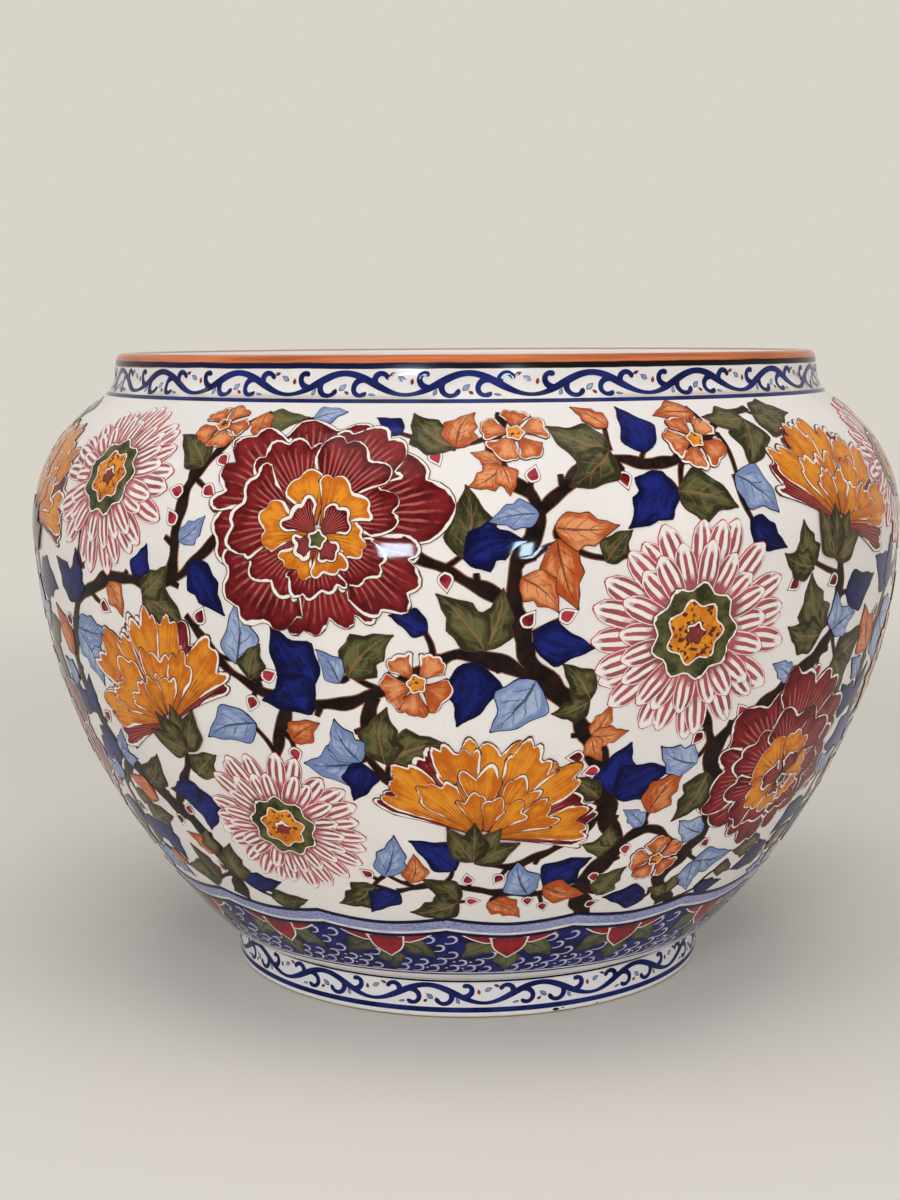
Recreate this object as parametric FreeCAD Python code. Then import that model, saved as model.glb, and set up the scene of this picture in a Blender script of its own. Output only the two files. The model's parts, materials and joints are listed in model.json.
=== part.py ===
"""Faience cachepot: a round-bellied, wide-mouthed pot for hiding a plain grow pot.

It is built as such a large pot is made, from clay sections that are shaped apart and luted
(joined with slip) while leather-hard: a foot ring, a floor slab, the lower wall, the shoulder
wall, the neck collar and a rolled lip. Every section is a solid of revolution about the Z axis.
The outer profile is a chain of tangent arcs, the inner one is concentric with it, so the wall
has one thickness, and the seams lie square across the wall. The origin is on the ground, on
the axis. Points of the profile are written as (radius, height) in the plane of X and Z.
"""
import FreeCAD, Part
import math
import os

# Foot: a ring that stands on the ground, with a turned ledge between it and the bowl (mm)
foot_radius = 116.5
foot_width = 13.0
foot_height = 19.0
foot_bevel = 1.5
ledge_width = 10.5
ledge_rise = 5.2
cove_radius = 3.0

# Bowl: from the ledge's outer edge to the widest line, and on to the collar (mm and degrees)
spring_angle = 46.4
flank_rise = 194.7
flank_share = 0.45
belly_radius = 210.5
shoulder_rise = 62.5
shoulder_reach = 36.3
shoulder_share = 0.135
shoulder_angle = 44.0

# Collar and lip: a hollow flare off the shoulder, a short neck and a lip that is a full round
flare_radius = 13.0
collar_lean = 3.5
collar_straight = 3.9
lip_straight = 2.4

# Clay thicknesses
wall = 8.0
floor_thickness = 9.5

AXIS_FOOT = FreeCAD.Vector(0, 0, 0)
UP = FreeCAD.Vector(0, 0, 1)


def point(radius, height):
    """A point of the profile."""
    return FreeCAD.Vector(radius, 0, height)


def heading(angle):
    """A unit step in the profile plane: 0 degrees is outward and 90 is up."""
    return point(math.cos(math.radians(angle)), math.sin(math.radians(angle)))


def turned_left(step):
    """The same step turned a quarter turn anticlockwise, towards the clay of an upward line."""
    return point(-step.z, step.x)


def arc_from(start, direction, end):
    """The arc that leaves start along direction and passes through end: (start, centre, end)."""
    normal = turned_left(direction)
    chord = end - start
    radius = chord.dot(chord) / (2 * chord.dot(normal))
    return start, start + normal * radius, end


def biarc(start, start_direction, end, end_direction, share):
    """Two arcs, tangent to each other and to both directions; share is their handle ratio."""
    chord = end - start
    a = 2 * share * (start_direction.dot(end_direction) - 1)
    b = -2 * chord.dot(start_direction + end_direction * share)
    c = chord.dot(chord)
    handle = (-b - math.sqrt(b * b - 4 * a * c)) / (2 * a)
    first_corner = start + start_direction * handle
    last_corner = end - end_direction * (share * handle)
    meeting = first_corner + (last_corner - first_corner) * (1 / (1 + share))
    first = arc_from(start, start_direction, meeting)
    travel = last_corner - first_corner
    second = arc_from(meeting, travel.normalize(), end)
    return [first, second]


def thickened(arc, depth):
    """The concentric arc on the clay side of an upward arc, depth away from it."""
    start, centre, end = arc
    chord = end - start
    inward = turned_left(chord)
    sign = 1 if (centre - start).dot(inward) > 0 else -1

    def moved(place):
        ray = centre - place
        return place + ray * (sign * depth / ray.Length)

    return moved(start), centre, moved(end)


def arc_edge(arc):
    """The edge of an arc under half a turn."""
    start, centre, end = arc
    radius = (start - centre).Length
    bisector = (start - centre) + (end - centre)
    middle = centre + bisector.normalize() * radius
    return Part.Arc(start, middle, end).toShape()


def line_edge(start, end):
    return Part.LineSegment(start, end).toShape()


def turned(edges):
    """A solid of revolution from the closed section that the edges make."""
    section = Part.Face(Part.Wire(edges))
    return section.revolve(AXIS_FOOT, UP, 360)


# Outer profile, from the ledge up
ledge_foot = point(foot_radius, foot_height)
spring = point(foot_radius + ledge_width, foot_height + ledge_rise)
belly = point(belly_radius, spring.z + flank_rise)
collar_foot = point(belly_radius - shoulder_reach, belly.z + shoulder_rise)
shoulder_heading = heading(180 - shoulder_angle)
neck_heading = heading(90 + collar_lean)

ledge_centre = arc_from(spring, heading(180 + spring_angle), ledge_foot)[1]
ledge_radius = (spring - ledge_centre).Length
flank = biarc(spring, heading(spring_angle), belly, UP, flank_share)
shoulder = biarc(belly, UP, collar_foot, shoulder_heading, shoulder_share)

# The cove rounds the inner corner between the upright foot and the ledge
cove_offset = foot_radius + cove_radius - ledge_centre.x
cove_drop = math.sqrt((ledge_radius + cove_radius) ** 2 - cove_offset ** 2)
cove_centre = point(foot_radius + cove_radius, ledge_centre.z - cove_drop)
cove_start = point(foot_radius, cove_centre.z)
to_ledge = ledge_centre - cove_centre
cove_end = cove_centre + to_ledge.normalize() * cove_radius
cove = (cove_start, cove_centre, cove_end)
ledge = (cove_end, ledge_centre, spring)

# The flare turns from the shoulder's slope into the leaning neck, hollow on the outside
flare_centre = collar_foot - turned_left(shoulder_heading) * flare_radius
flare_end = flare_centre + turned_left(neck_heading) * flare_radius
flare = (collar_foot, flare_centre, flare_end)

neck_top = flare_end + neck_heading * collar_straight
lip_spring = neck_top + neck_heading * lip_straight
across_neck = turned_left(neck_heading)

# Heights and radii that the lower sections share
seat_height = cove_start.z
foot_inner_radius = foot_radius - foot_width
floor_top = ledge_centre.z - (ledge_radius - wall)


def foot_ring():
    """Ring that carries the pot, bevelled where it stands, flat where the bowl is luted on."""
    corners = [
        point(foot_radius - foot_bevel, 0),
        point(foot_radius, foot_bevel),
        point(foot_radius, seat_height),
        point(foot_inner_radius, seat_height),
        point(foot_inner_radius, foot_bevel),
        point(foot_inner_radius + foot_bevel, 0),
    ]
    next_corners = corners[1:] + corners[:1]
    return turned([line_edge(here, there) for here, there in zip(corners, next_corners)])


def base_floor():
    """Round slab that closes the bowl, luted inside the opening of the lower wall."""
    return Part.makeCylinder(
        foot_inner_radius, floor_thickness, point(0, floor_top - floor_thickness)
    )


def lower_wall():
    """Cove, ledge and flank, from the seat on the foot ring to the seam at the widest line."""
    inner_flank = [thickened(arc, wall) for arc in flank]
    inner_spring = inner_flank[0][0]
    inner_root = (point(ledge_centre.x, floor_top), ledge_centre, inner_spring)
    floor_rim = point(foot_inner_radius, floor_top)
    seat_inner = point(foot_inner_radius, seat_height)
    return turned([
        arc_edge(cove),
        arc_edge(ledge),
        arc_edge(flank[0]),
        arc_edge(flank[1]),
        line_edge(belly, inner_flank[1][2]),
        arc_edge(inner_flank[1]),
        arc_edge(inner_flank[0]),
        arc_edge(inner_root),
        line_edge(inner_root[0], floor_rim),
        line_edge(floor_rim, seat_inner),
        line_edge(seat_inner, cove_start),
    ])


def shoulder_wall():
    """Upper half of the belly, closing in from the widest line to the foot of the collar."""
    inner = [thickened(arc, wall) for arc in shoulder]
    return turned([
        arc_edge(shoulder[0]),
        arc_edge(shoulder[1]),
        line_edge(collar_foot, inner[1][2]),
        arc_edge(inner[1]),
        arc_edge(inner[0]),
        line_edge(inner[0][0], belly),
    ])


def neck_collar():
    """Upright band round the mouth, with the hollow flare at its foot."""
    inner_flare = thickened(flare, wall)
    inner_top = neck_top + across_neck * wall
    return turned([
        arc_edge(flare),
        line_edge(flare_end, neck_top),
        line_edge(neck_top, inner_top),
        line_edge(inner_top, inner_flare[2]),
        arc_edge(inner_flare),
        line_edge(inner_flare[0], collar_foot),
    ])


def rim_lip():
    """Rolled lip on top of the collar, full round across the wall."""
    inner_spring = lip_spring + across_neck * wall
    inner_foot = neck_top + across_neck * wall
    crown = lip_spring + (across_neck + neck_heading) * (wall / 2)
    return turned([
        line_edge(neck_top, lip_spring),
        Part.Arc(lip_spring, crown, inner_spring).toShape(),
        line_edge(inner_spring, inner_foot),
        line_edge(inner_foot, neck_top),
    ])


sections = {
    "foot_ring": foot_ring(),
    "base_floor": base_floor(),
    "lower_wall": lower_wall(),
    "shoulder_wall": shoulder_wall(),
    "neck_collar": neck_collar(),
    "rim_lip": rim_lip(),
}

os.makedirs("parts", exist_ok=True)
for name, solid in sections.items():
    solid.exportStep(f"parts/{name}.step")
    box = solid.optimalBoundingBox()
    litres = solid.Volume / 1e6
    print(f"{name}: radius {box.XMax:.1f}, z {box.ZMin:.1f} to {box.ZMax:.1f} mm, {litres:.3f} l of clay")

print(f"flank arcs {[round((a - c).Length, 1) for a, c, b in flank]} mm")
print(f"shoulder arcs {[round((a - c).Length, 1) for a, c, b in shoulder]} mm")
print(f"floor top {floor_top:.2f}, seat {seat_height:.2f}, ledge radius {ledge_radius:.2f} mm")
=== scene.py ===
# %% [markdown]
# # A painted faience cachepot
#
# The pot is tin-glazed earthenware: six turned clay sections under one white glaze, painted all over
# with borders and a flowering thicket. The lesson goes the way the potter and the painter go: the turned
# body first, then the ruled lines and scroll borders, then branches, leaves and flowers, and at the end
# the light and the camera. Loading the frame comes before anything else.

# %% Load the frame
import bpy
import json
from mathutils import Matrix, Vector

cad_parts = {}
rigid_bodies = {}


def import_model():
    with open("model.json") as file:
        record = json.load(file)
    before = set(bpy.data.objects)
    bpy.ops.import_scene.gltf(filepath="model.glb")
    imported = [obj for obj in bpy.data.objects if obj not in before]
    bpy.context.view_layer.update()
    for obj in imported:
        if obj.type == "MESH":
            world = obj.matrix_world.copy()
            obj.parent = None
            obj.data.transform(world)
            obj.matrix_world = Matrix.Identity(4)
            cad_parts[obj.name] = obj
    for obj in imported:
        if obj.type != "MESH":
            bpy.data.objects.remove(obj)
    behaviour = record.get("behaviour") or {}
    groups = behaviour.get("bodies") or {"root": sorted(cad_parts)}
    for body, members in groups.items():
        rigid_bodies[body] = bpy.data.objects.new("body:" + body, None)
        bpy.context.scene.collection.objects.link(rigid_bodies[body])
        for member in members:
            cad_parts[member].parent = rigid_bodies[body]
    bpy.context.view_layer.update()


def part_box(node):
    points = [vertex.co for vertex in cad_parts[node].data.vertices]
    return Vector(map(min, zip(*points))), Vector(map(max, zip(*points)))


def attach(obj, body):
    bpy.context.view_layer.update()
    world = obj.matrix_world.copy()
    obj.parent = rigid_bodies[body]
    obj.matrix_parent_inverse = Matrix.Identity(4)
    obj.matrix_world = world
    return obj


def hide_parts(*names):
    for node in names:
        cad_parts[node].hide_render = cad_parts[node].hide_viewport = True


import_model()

# %% [markdown]
# ## Helpers
#
# Node trees are easier to read as formulas than as boxes and wires. `Wiring.add` makes one node, plugs
# constants or other nodes' outputs into its sockets and returns its output as a `Value`. Arithmetic with
# a `Value` adds the Math node for it, so a shader or a geometry tree becomes a few lines of formulas.

# %% Node outputs as values
class Value:
    """A node's output. Arithmetic with it adds Math nodes to its tree."""

    def __init__(self, wiring, socket):
        self.wiring = wiring
        self.socket = socket

    def __add__(self, other):
        return self.wiring.math("ADD", self, other)

    def __radd__(self, other):
        return self.wiring.math("ADD", other, self)

    def __sub__(self, other):
        return self.wiring.math("SUBTRACT", self, other)

    def __rsub__(self, other):
        return self.wiring.math("SUBTRACT", other, self)

    def __mul__(self, other):
        return self.wiring.math("MULTIPLY", self, other)

    def __truediv__(self, other):
        return self.wiring.math("DIVIDE", self, other)


print("signs that add a node: + - * /")

# %% A short way to wire nodes
import bpy


class Wiring:
    """Adds nodes to one tree. What goes into a socket is a constant or a Value."""

    def __init__(self, tree):
        self.tree = tree

    def plug(self, given, socket):
        if isinstance(given, Value):
            self.tree.links.new(given.socket, socket)
        else:
            socket.default_value = given

    def add(self, kind, *inputs, output=0, named=None, **settings):
        node = self.tree.nodes.new(kind)
        for setting, choice in settings.items():
            setattr(node, setting, choice)
        for socket, given in {**dict(enumerate(inputs)), **(named or {})}.items():
            self.plug(given, node.inputs[socket])
        return Value(self, node.outputs[output])

    def outputs(self, node):
        return {socket.name: Value(self, socket) for socket in node.outputs}

    def math(self, operation, *inputs):
        return self.add("ShaderNodeMath", *inputs, operation=operation)

    def vector(self, operation, *inputs, **more):
        return self.add("ShaderNodeVectorMath", *inputs, operation=operation, **more)

    def scaled(self, vector, factor):
        return self.vector("SCALE", vector, named={"Scale": factor})

    def length(self, vector):
        return self.vector("LENGTH", vector, output=1)

    def joined(self, x, y, z=0.0):
        return self.add("ShaderNodeCombineXYZ", x, y, z)

    def parts(self, vector):
        return list(self.outputs(self.add("ShaderNodeSeparateXYZ", vector).socket.node).values())

    def rise(self, value, low, high):
        """0 below low, 1 above high, with a smooth step between."""
        return self.add("ShaderNodeMapRange", value, low, high, interpolation_type="SMOOTHSTEP")

    def fall(self, value, level, soft):
        """1 below the level, 0 above it, with a smooth step between."""
        return 1.0 - self.rise(value, level - soft, level + soft)

    def blend(self, share, first, second):
        """The first colour where share is 0, the second where it is 1."""
        return self.add("ShaderNodeMix", named={0: share, 6: first, 7: second}, output=2, data_type="RGBA")

    def noise(self, scale, detail=2.0, roughness=0.5, place=None):
        """Cloudy noise over a material's own place, or over another place."""
        named = {"Vector": place or self.place, "Scale": scale, "Detail": detail, "Roughness": roughness}
        return self.add("ShaderNodeTexNoise", named=named)


print("ways to add nodes:", [name for name in vars(Wiring) if not name.startswith("__")])

# %% [markdown]
# A geometry tree is run once and its result is kept as a plain mesh, because what is handed over may
# hold no live modifiers. Every tree here ends in the same way: instances made real, smooth shading and
# one paint.

# %% Geometry trees and what grows from them
import math


def placed(thing):
    """Puts an object into the scene."""
    bpy.context.scene.collection.objects.link(thing)
    return thing


def geometry_tree(name, inputs):
    """The wiring of a new geometry tree, and its inputs: Geometry and the named ones."""
    tree = bpy.data.node_groups.new(name, "GeometryNodeTree")
    for label, kind in {"Geometry": "Geometry", **inputs}.items():
        tree.interface.new_socket(label, in_out="INPUT", socket_type="NodeSocket" + kind)
    tree.interface.new_socket("Geometry", in_out="OUTPUT", socket_type="NodeSocketGeometry")
    wiring = Wiring(tree)
    return wiring, wiring.outputs(tree.nodes.new("NodeGroupInput"))


def finish_tree(wiring, geometry, paint):
    realized = wiring.add("GeometryNodeRealizeInstances", geometry)
    smooth = wiring.add("GeometryNodeSetShadeSmooth", realized)
    painted = wiring.add("GeometryNodeSetMaterial", smooth, named={"Material": paint})
    wiring.plug(painted, wiring.tree.nodes.new("NodeGroupOutput").inputs[0])


def grown(name, tree, source, inputs, crease):
    """Runs a geometry tree on a mesh and keeps the result, sharp at edges of more than crease degrees."""
    holder = placed(bpy.data.objects.new(name + ".source", source))
    modifier = holder.modifiers.new(tree.name, "NODES")
    modifier.node_group = tree
    for item in tree.interface.items_tree:
        if item.in_out == "INPUT" and item.name in inputs:
            modifier[item.identifier] = inputs[item.name]
    evaluated = holder.evaluated_get(bpy.context.evaluated_depsgraph_get())
    mesh = bpy.data.meshes.new_from_object(evaluated)
    bpy.data.objects.remove(holder)
    bpy.data.meshes.remove(source)
    mesh.set_sharp_from_angle(angle=math.radians(crease))
    return placed(bpy.data.objects.new(name, mesh))


# %% [markdown]
# ## The turned body
#
# A thrown pot is a solid of revolution, and its outline is a chain of arcs that flow into each other. A
# point of the outline is one complex number, radius plus 1j times height, which makes turning and
# mirroring it plain multiplication.

# %% Arcs of the profile
import cmath

MM = 0.001


def dot(first, second):
    return (first.conjugate() * second).real


def heading(degrees):
    """A unit step: 0 degrees is outward and 90 is up."""
    return cmath.exp(1j * math.radians(degrees))


def arc_from(start, direction, end):
    """The arc that leaves start along direction and reaches end, as (start, centre, end)."""
    chord = end - start
    radius = abs(chord) ** 2 / (2 * dot(chord, 1j * direction))
    return start, start + 1j * direction * radius, end


def biarc(start, start_direction, end, end_direction, share):
    """Two arcs, tangent to each other and to both directions; share is their handle ratio."""
    chord = end - start
    a = 2 * share * (dot(start_direction, end_direction) - 1)
    b = -2 * dot(chord, start_direction + end_direction * share)
    handle = (-b - math.sqrt(b * b - 4 * a * abs(chord) ** 2)) / (2 * a)
    first_corner = start + start_direction * handle
    last_corner = end - end_direction * share * handle
    travel = last_corner - first_corner
    meeting = first_corner + travel / (1 + share)
    return [arc_from(start, start_direction, meeting), arc_from(meeting, travel / abs(travel), end)]


print("centre of a half circle:", arc_from(-1 + 0j, 1j, 1 + 0j)[1])

# %% The clay side of an arc, and points along a line
def thickened(arc, depth):
    """The concentric arc on the clay side of an upward arc."""
    start, centre, end = arc
    side = math.copysign(depth, dot(centre - start, 1j * (end - start)))
    return tuple(p + side * (centre - p) / abs(centre - p) if p != centre else p for p in arc)


def backward(stretch):
    return tuple(reversed(stretch))


def walk(stretches, step):
    """Points along arcs (start, centre, end) and lines (start, end), without the last end."""
    points = []
    for stretch in stretches:
        start, end = stretch[0], stretch[-1]
        if len(stretch) == 2:
            count = max(1, round(abs(end - start) / step))
            points += [start + (end - start) * k / count for k in range(count)]
        else:
            centre = stretch[1]
            sweep = cmath.phase((end - centre) / (start - centre))
            count = math.ceil(max(abs(sweep) * abs(start - centre) / step, abs(sweep) / 0.1))
            points += [centre + (start - centre) * cmath.exp(1j * sweep * k / count) for k in range(count)]
    return points


print("a quarter circle has", len(walk([(1, 0, 1j)], 0.1)), "points")

# %% [markdown]
# The main sizes come from the frame, so the dressed pot stays on its solids. The angles and small radii
# are the drawing's.

# %% The outer profile
def reach(node):
    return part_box(node)[1].x


def top(node):
    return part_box(node)[1].z


wall = 8 * MM
foot_radius = reach("foot_ring")
seat_height = top("foot_ring")
foot_bevel = 1.5 * MM
floor_radius = reach("base_floor")
floor_top = top("base_floor")
floor_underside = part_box("base_floor")[0].z
spring = complex(127.0, 24.2) * MM
spring_direction = heading(46.4)
belly = complex(reach("lower_wall"), top("lower_wall"))
collar_foot = complex(reach("neck_collar"), top("shoulder_wall"))
shoulder_direction = heading(180 - 44)
neck_direction = heading(90 + 3.5)
across_neck = 1j * neck_direction
cove_radius = 3 * MM
ledge_height = 19 * MM
flare_radius = 13 * MM
neck_straight = 3.9 * MM
lip_straight = 2.4 * MM

cove_centre = complex(foot_radius + cove_radius, seat_height)
ledge_centre = arc_from(spring, -spring_direction, complex(foot_radius, ledge_height))[1]
to_ledge = ledge_centre - cove_centre
cove_end = cove_centre + to_ledge / abs(to_ledge) * cove_radius
cove = (complex(foot_radius, seat_height), cove_centre, cove_end)
ledge = (cove_end, ledge_centre, spring)
flank = biarc(spring, spring_direction, belly, 1j, 0.45)
shoulder = biarc(belly, 1j, collar_foot, shoulder_direction, 0.135)
flare_centre = collar_foot - 1j * shoulder_direction * flare_radius
flare_end = flare_centre + across_neck * flare_radius
flare = (collar_foot, flare_centre, flare_end)
neck_top = flare_end + neck_direction * neck_straight
lip_spring = neck_top + neck_direction * lip_straight
lip_centre = lip_spring + across_neck * wall / 2
lip_crown = lip_centre + neck_direction * wall / 2
print(f"belly radius {belly.real / MM:.1f} mm, lip top {lip_crown.imag / MM:.1f} mm")

# %% [markdown]
# ### Turning a section
#
# Spinning an outline is a rule, so Geometry Nodes turn it on a lathe: a grid has one column per step round
# the axis and one row per outline point, and each grid point looks up its outline point by index and is
# swung round the axis. The rows and columns that meet are merged, which closes the seam and the poles.

# %% The lathe tree
def swung(wiring, radius, height, turn):
    """The place at a radius and a height, turned round the pot's axis from the front."""
    side = radius * wiring.math("SINE", turn)
    depth = radius * (wiring.math("COSINE", turn) * -1)
    return wiring.joined(side, depth, height)


turning, given = geometry_tree("lathe", {"Rows": "Int", "Columns": "Int", "Paint": "Material"})
rows_with_end = given["Rows"] + 1
columns_with_end = given["Columns"] + 1
plate = turning.add("GeometryNodeMeshGrid", 1.0, 1.0, columns_with_end, rows_with_end)
index = turning.add("GeometryNodeInputIndex")
column = turning.math("FLOOR", (index + 0.5) / rows_with_end)
row = index - column * rows_with_end
outline_place = turning.add(
    "GeometryNodeSampleIndex", given["Geometry"], turning.add("GeometryNodeInputPosition"),
    turning.math("FLOORED_MODULO", row, given["Rows"]), data_type="FLOAT_VECTOR",
)
radius, _, height = turning.parts(outline_place)
turned_place = swung(turning, radius, height, column / given["Columns"] * math.tau)
turned = turning.add("GeometryNodeSetPosition", plate, named={"Position": turned_place})
closed = turning.add("GeometryNodeMergeByDistance", turned, named={"Distance": 0.002 * MM})
finish_tree(turning, closed, given["Paint"])
print("lathe nodes:", len(turning.tree.nodes))

# %% [markdown]
# Each of the six clay sections is a closed outline that runs anticlockwise: up the outside, over to the
# inside and down again. The inside is concentric with the outside, so the wall has one thickness.

# %% Outlines of the six sections
inner_flank = [thickened(arc, wall) for arc in flank]
inner_shoulder = [thickened(arc, wall) for arc in shoulder]
inner_flare = thickened(flare, wall)
inner_root = (complex(ledge_centre.real, floor_top), ledge_centre, inner_flank[0][0])
floor_rim = complex(floor_radius, floor_top)
seat_inner = complex(floor_radius, seat_height)
inner_neck_top = neck_top + across_neck * wall
inner_lip_spring = lip_spring + across_neck * wall


def loop_of_corners(corners):
    return list(zip(corners, corners[1:] + corners[:1]))


sections = {
    "foot_ring": loop_of_corners([
        complex(foot_radius - foot_bevel, 0),
        complex(foot_radius, foot_bevel),
        complex(foot_radius, seat_height),
        seat_inner,
        complex(floor_radius, foot_bevel),
        complex(floor_radius + foot_bevel, 0),
    ]),
    "base_floor": loop_of_corners([
        complex(0, floor_underside),
        complex(floor_radius, floor_underside),
        floor_rim,
        complex(0, floor_top),
    ]),
    "lower_wall": [
        cove, ledge, *flank, (belly, inner_flank[1][2]),
        backward(inner_flank[1]), backward(inner_flank[0]), backward(inner_root),
        (inner_root[0], floor_rim), (floor_rim, seat_inner), (seat_inner, cove[0]),
    ],
    "shoulder_wall": [
        *shoulder, (collar_foot, inner_shoulder[1][2]),
        backward(inner_shoulder[1]), backward(inner_shoulder[0]), (inner_shoulder[0][0], belly),
    ],
    "neck_collar": [
        flare, (flare_end, neck_top), (neck_top, inner_neck_top),
        (inner_neck_top, inner_flare[2]), backward(inner_flare), (inner_flare[0], collar_foot),
    ],
    "rim_lip": [
        (neck_top, lip_spring), (lip_spring, lip_centre, lip_crown),
        (lip_crown, lip_centre, inner_lip_spring),
        (inner_lip_spring, inner_neck_top), (inner_neck_top, neck_top),
    ],
}
print({name: len(stretches) for name, stretches in sections.items()})

# %% [markdown]
# ### Glaze and clay
#
# Tin glaze is a warm white glass, a fraction of a millimetre thick. It is never quite even: it pools in
# broad clouds, pulls into a faint orange-peel skin and keeps a few specks of iron. Every paint on the pot
# lies in the same glass, so one function gives them all the same gloss and skin, and only the colour is
# painted differently.

# %% The palette
def srgb(red, green, blue):
    """A colour as it is picked on screen, made linear for the shader."""
    def linear(level):
        share = level / 255
        return share / 12.92 if share <= 0.04045 else ((share + 0.055) / 1.055) ** 2.4
    return (linear(red), linear(green), linear(blue), 1.0)


warm_white = srgb(237, 231, 226)
cool_white = srgb(228, 223, 220)
# a lighter, bluer white for the foot: painted light
foot_lit_white = srgb(240, 240, 242)
petal_white = srgb(238, 230, 220)
speck_brown = srgb(120, 100, 84)
bare_clay = srgb(196, 160, 122)
hollow_shade_grey = srgb(178, 166, 150)
# grey of the painted shade in the hollow under the collar
chip_dark = srgb(30, 26, 24)
lip_orange = srgb(207, 117, 70)
lip_brown = srgb(168, 87, 49)
lip_worn = srgb(176, 150, 130)
band_black = srgb(16, 14, 16)
band_navy = srgb(14, 20, 62)
navy_ink = srgb(16, 18, 58)
brown_ink = srgb(84, 42, 32)
scroll_dark = srgb(12, 20, 72)
scroll_light = srgb(32, 44, 110)
ground_dark = srgb(14, 14, 66)
ground_light = srgb(28, 34, 112)
stripe_pale = srgb(158, 164, 198)
stripe_mark = srgb(94, 102, 158)
reserve_grey = srgb(206, 202, 216)
curl_grey = srgb(184, 176, 202)
border_rose = srgb(156, 36, 44)
border_olive = srgb(58, 58, 38)
border_olive_light = srgb(104, 102, 68)
hatch_plum = srgb(66, 26, 58)
hatch_rose = srgb(180, 100, 92)
crimson = srgb(84, 10, 16)
crimson_light = srgb(128, 28, 32)
rose_red = srgb(178, 54, 66)
ochre = srgb(226, 145, 40)
ochre_deep = srgb(194, 100, 24)
rust = srgb(176, 78, 32)
rust_light = srgb(224, 148, 96)
cobalt = srgb(4, 6, 50)
cobalt_pool = srgb(24, 34, 116)
pale_blue = srgb(116, 134, 176)
pale_blue_light = srgb(164, 180, 208)
olive = srgb(42, 43, 20)
olive_light = srgb(98, 96, 58)
bark = srgb(12, 6, 5)
bark_light = srgb(40, 21, 16)
bark_edge = srgb(118, 76, 54)
bark_pale = srgb(156, 108, 80)
print("white of the glaze, linear:", [round(level, 3) for level in warm_white[:3]])

# %% The common glaze
glass_ior = 1.5
glass_shine = 0.11
skin_depth = 0.16 * MM


def new_material(name):
    """A material, its shader, and the wiring that mixes its colour over the piece's coordinates."""
    material = bpy.data.materials.new(name)
    material.use_nodes = True
    mix = Wiring(material.node_tree)
    mix.place = mix.add("ShaderNodeTexCoord", output=3)
    return material, material.node_tree.nodes["Principled BSDF"], mix


def glazed(name, colour_of, roughness=0.07):
    """A glossy glazed material. colour_of(mix) gives the colour under the glass."""
    material, shader, mix = new_material(name)
    relief = mix.noise(24.0, 3.0, 0.35)
    skin = mix.add("ShaderNodeBump", named={"Strength": 1.0, "Distance": skin_depth, "Height": relief})
    for socket, given in {
        "Base Color": colour_of(mix), "Roughness": roughness, "IOR": glass_ior,
        "Specular IOR Level": glass_shine, "Normal": skin,
    }.items():
        mix.plug(given, shader.inputs[socket])
    return material


def white_glaze(mix):
    cloud = mix.rise(mix.noise(14.0, 3.0), 0.35, 0.7)
    white = mix.blend(cloud, warm_white, cool_white)
    speck = mix.rise(mix.noise(420.0, 1.0), 0.80, 0.84)
    return mix.blend(speck * 0.7, white, speck_brown)


glaze = glazed("tin_glaze_white", white_glaze)
print("glaze nodes:", len(glaze.node_tree.nodes))

# %% [markdown]
# Three sections wear a glaze of their own. The foot is wiped clean where it stands, so that it doesn't
# stick to the kiln shelf, its edge has a few old chips, and its white is lighter, as painted light.
# The hollow under the collar has patches of grey painted shade. The lip has an orange-brown edge with a
# dark band under it, worn through at the crown.

# %% The foot
# Chips at the foot's edge: degrees round from the front, then height, width and tallness in mm
foot_chips = [(19.7, 1.9, 3.4, 1.5), (21.4, 2.3, 1.8, 0.5), (30.3, 1.7, 1.0, 0.8)]


def foot_glaze(mix):
    """White with dark chips, lightened as painted light, wiped off the face that stands on the ground, where
    the clay shows.
    """
    x, y, height = mix.parts(mix.place)
    clay = mix.blend(mix.noise(900.0, 3.0), bare_clay, speck_brown)
    # painted light: the foot's white is lightened towards a brighter, bluer white
    white = mix.blend(0.6, white_glaze(mix), foot_lit_white)
    wiped = mix.rise(height + mix.noise(90.0) * (0.9 * MM), 1.0 * MM, 1.5 * MM)
    colour = mix.blend(wiped, mix.blend(0.25, clay, bare_clay), white)
    turn = mix.math("ARCTAN2", x, y * -1.0)
    ragged = mix.noise(1100.0, 2.0) * 0.8
    for degrees, up, width, tall in foot_chips:
        aside = (turn - math.radians(degrees)) * (foot_radius / (width / 2 * MM))
        above = (height - up * MM) / (tall / 2 * MM)
        chip = mix.rise(mix.length(mix.joined(aside, above)) + ragged, 1.5, 1.3)
        colour = mix.blend(chip, colour, chip_dark)
    return colour


section_paint = {"foot_ring": glazed("tin_glaze_foot", foot_glaze, roughness=0.16)}
print("chips:", len(foot_chips))

# %% The collar
# heights where the painted shade under the collar begins and where it is full
hollow_shade_top, hollow_shade_full = 285.4 * MM, 282.2 * MM


def from_axis(mix):
    """How far a place is from the pot's axis."""
    x, y, _ = mix.parts(mix.place)
    return mix.length(mix.joined(x, y))


def collar_glaze(mix):
    """White, with grey painted shade in patches outside, in the hollow at the foot of the collar."""
    height = mix.parts(mix.place)[2]
    from_centre = mix.length(mix.joined(from_axis(mix) - flare_centre.real, height - flare_centre.imag))
    outside = mix.rise(from_centre, flare_radius + wall / 2, flare_radius + wall / 4)
    patch = mix.rise(mix.noise(26.0, 3.0), 0.3, 0.58)
    # painted shade: grey patches, deepening down into the hollow under the collar, outside only
    hollow_shade = mix.rise(height, hollow_shade_top, hollow_shade_full) * patch * 0.75 * outside
    return mix.blend(hollow_shade, white_glaze(mix), hollow_shade_grey)


section_paint["neck_collar"] = glazed("tin_glaze_collar", collar_glaze)
print("soil up to", round(hollow_shade_top / MM, 1), "mm")

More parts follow.
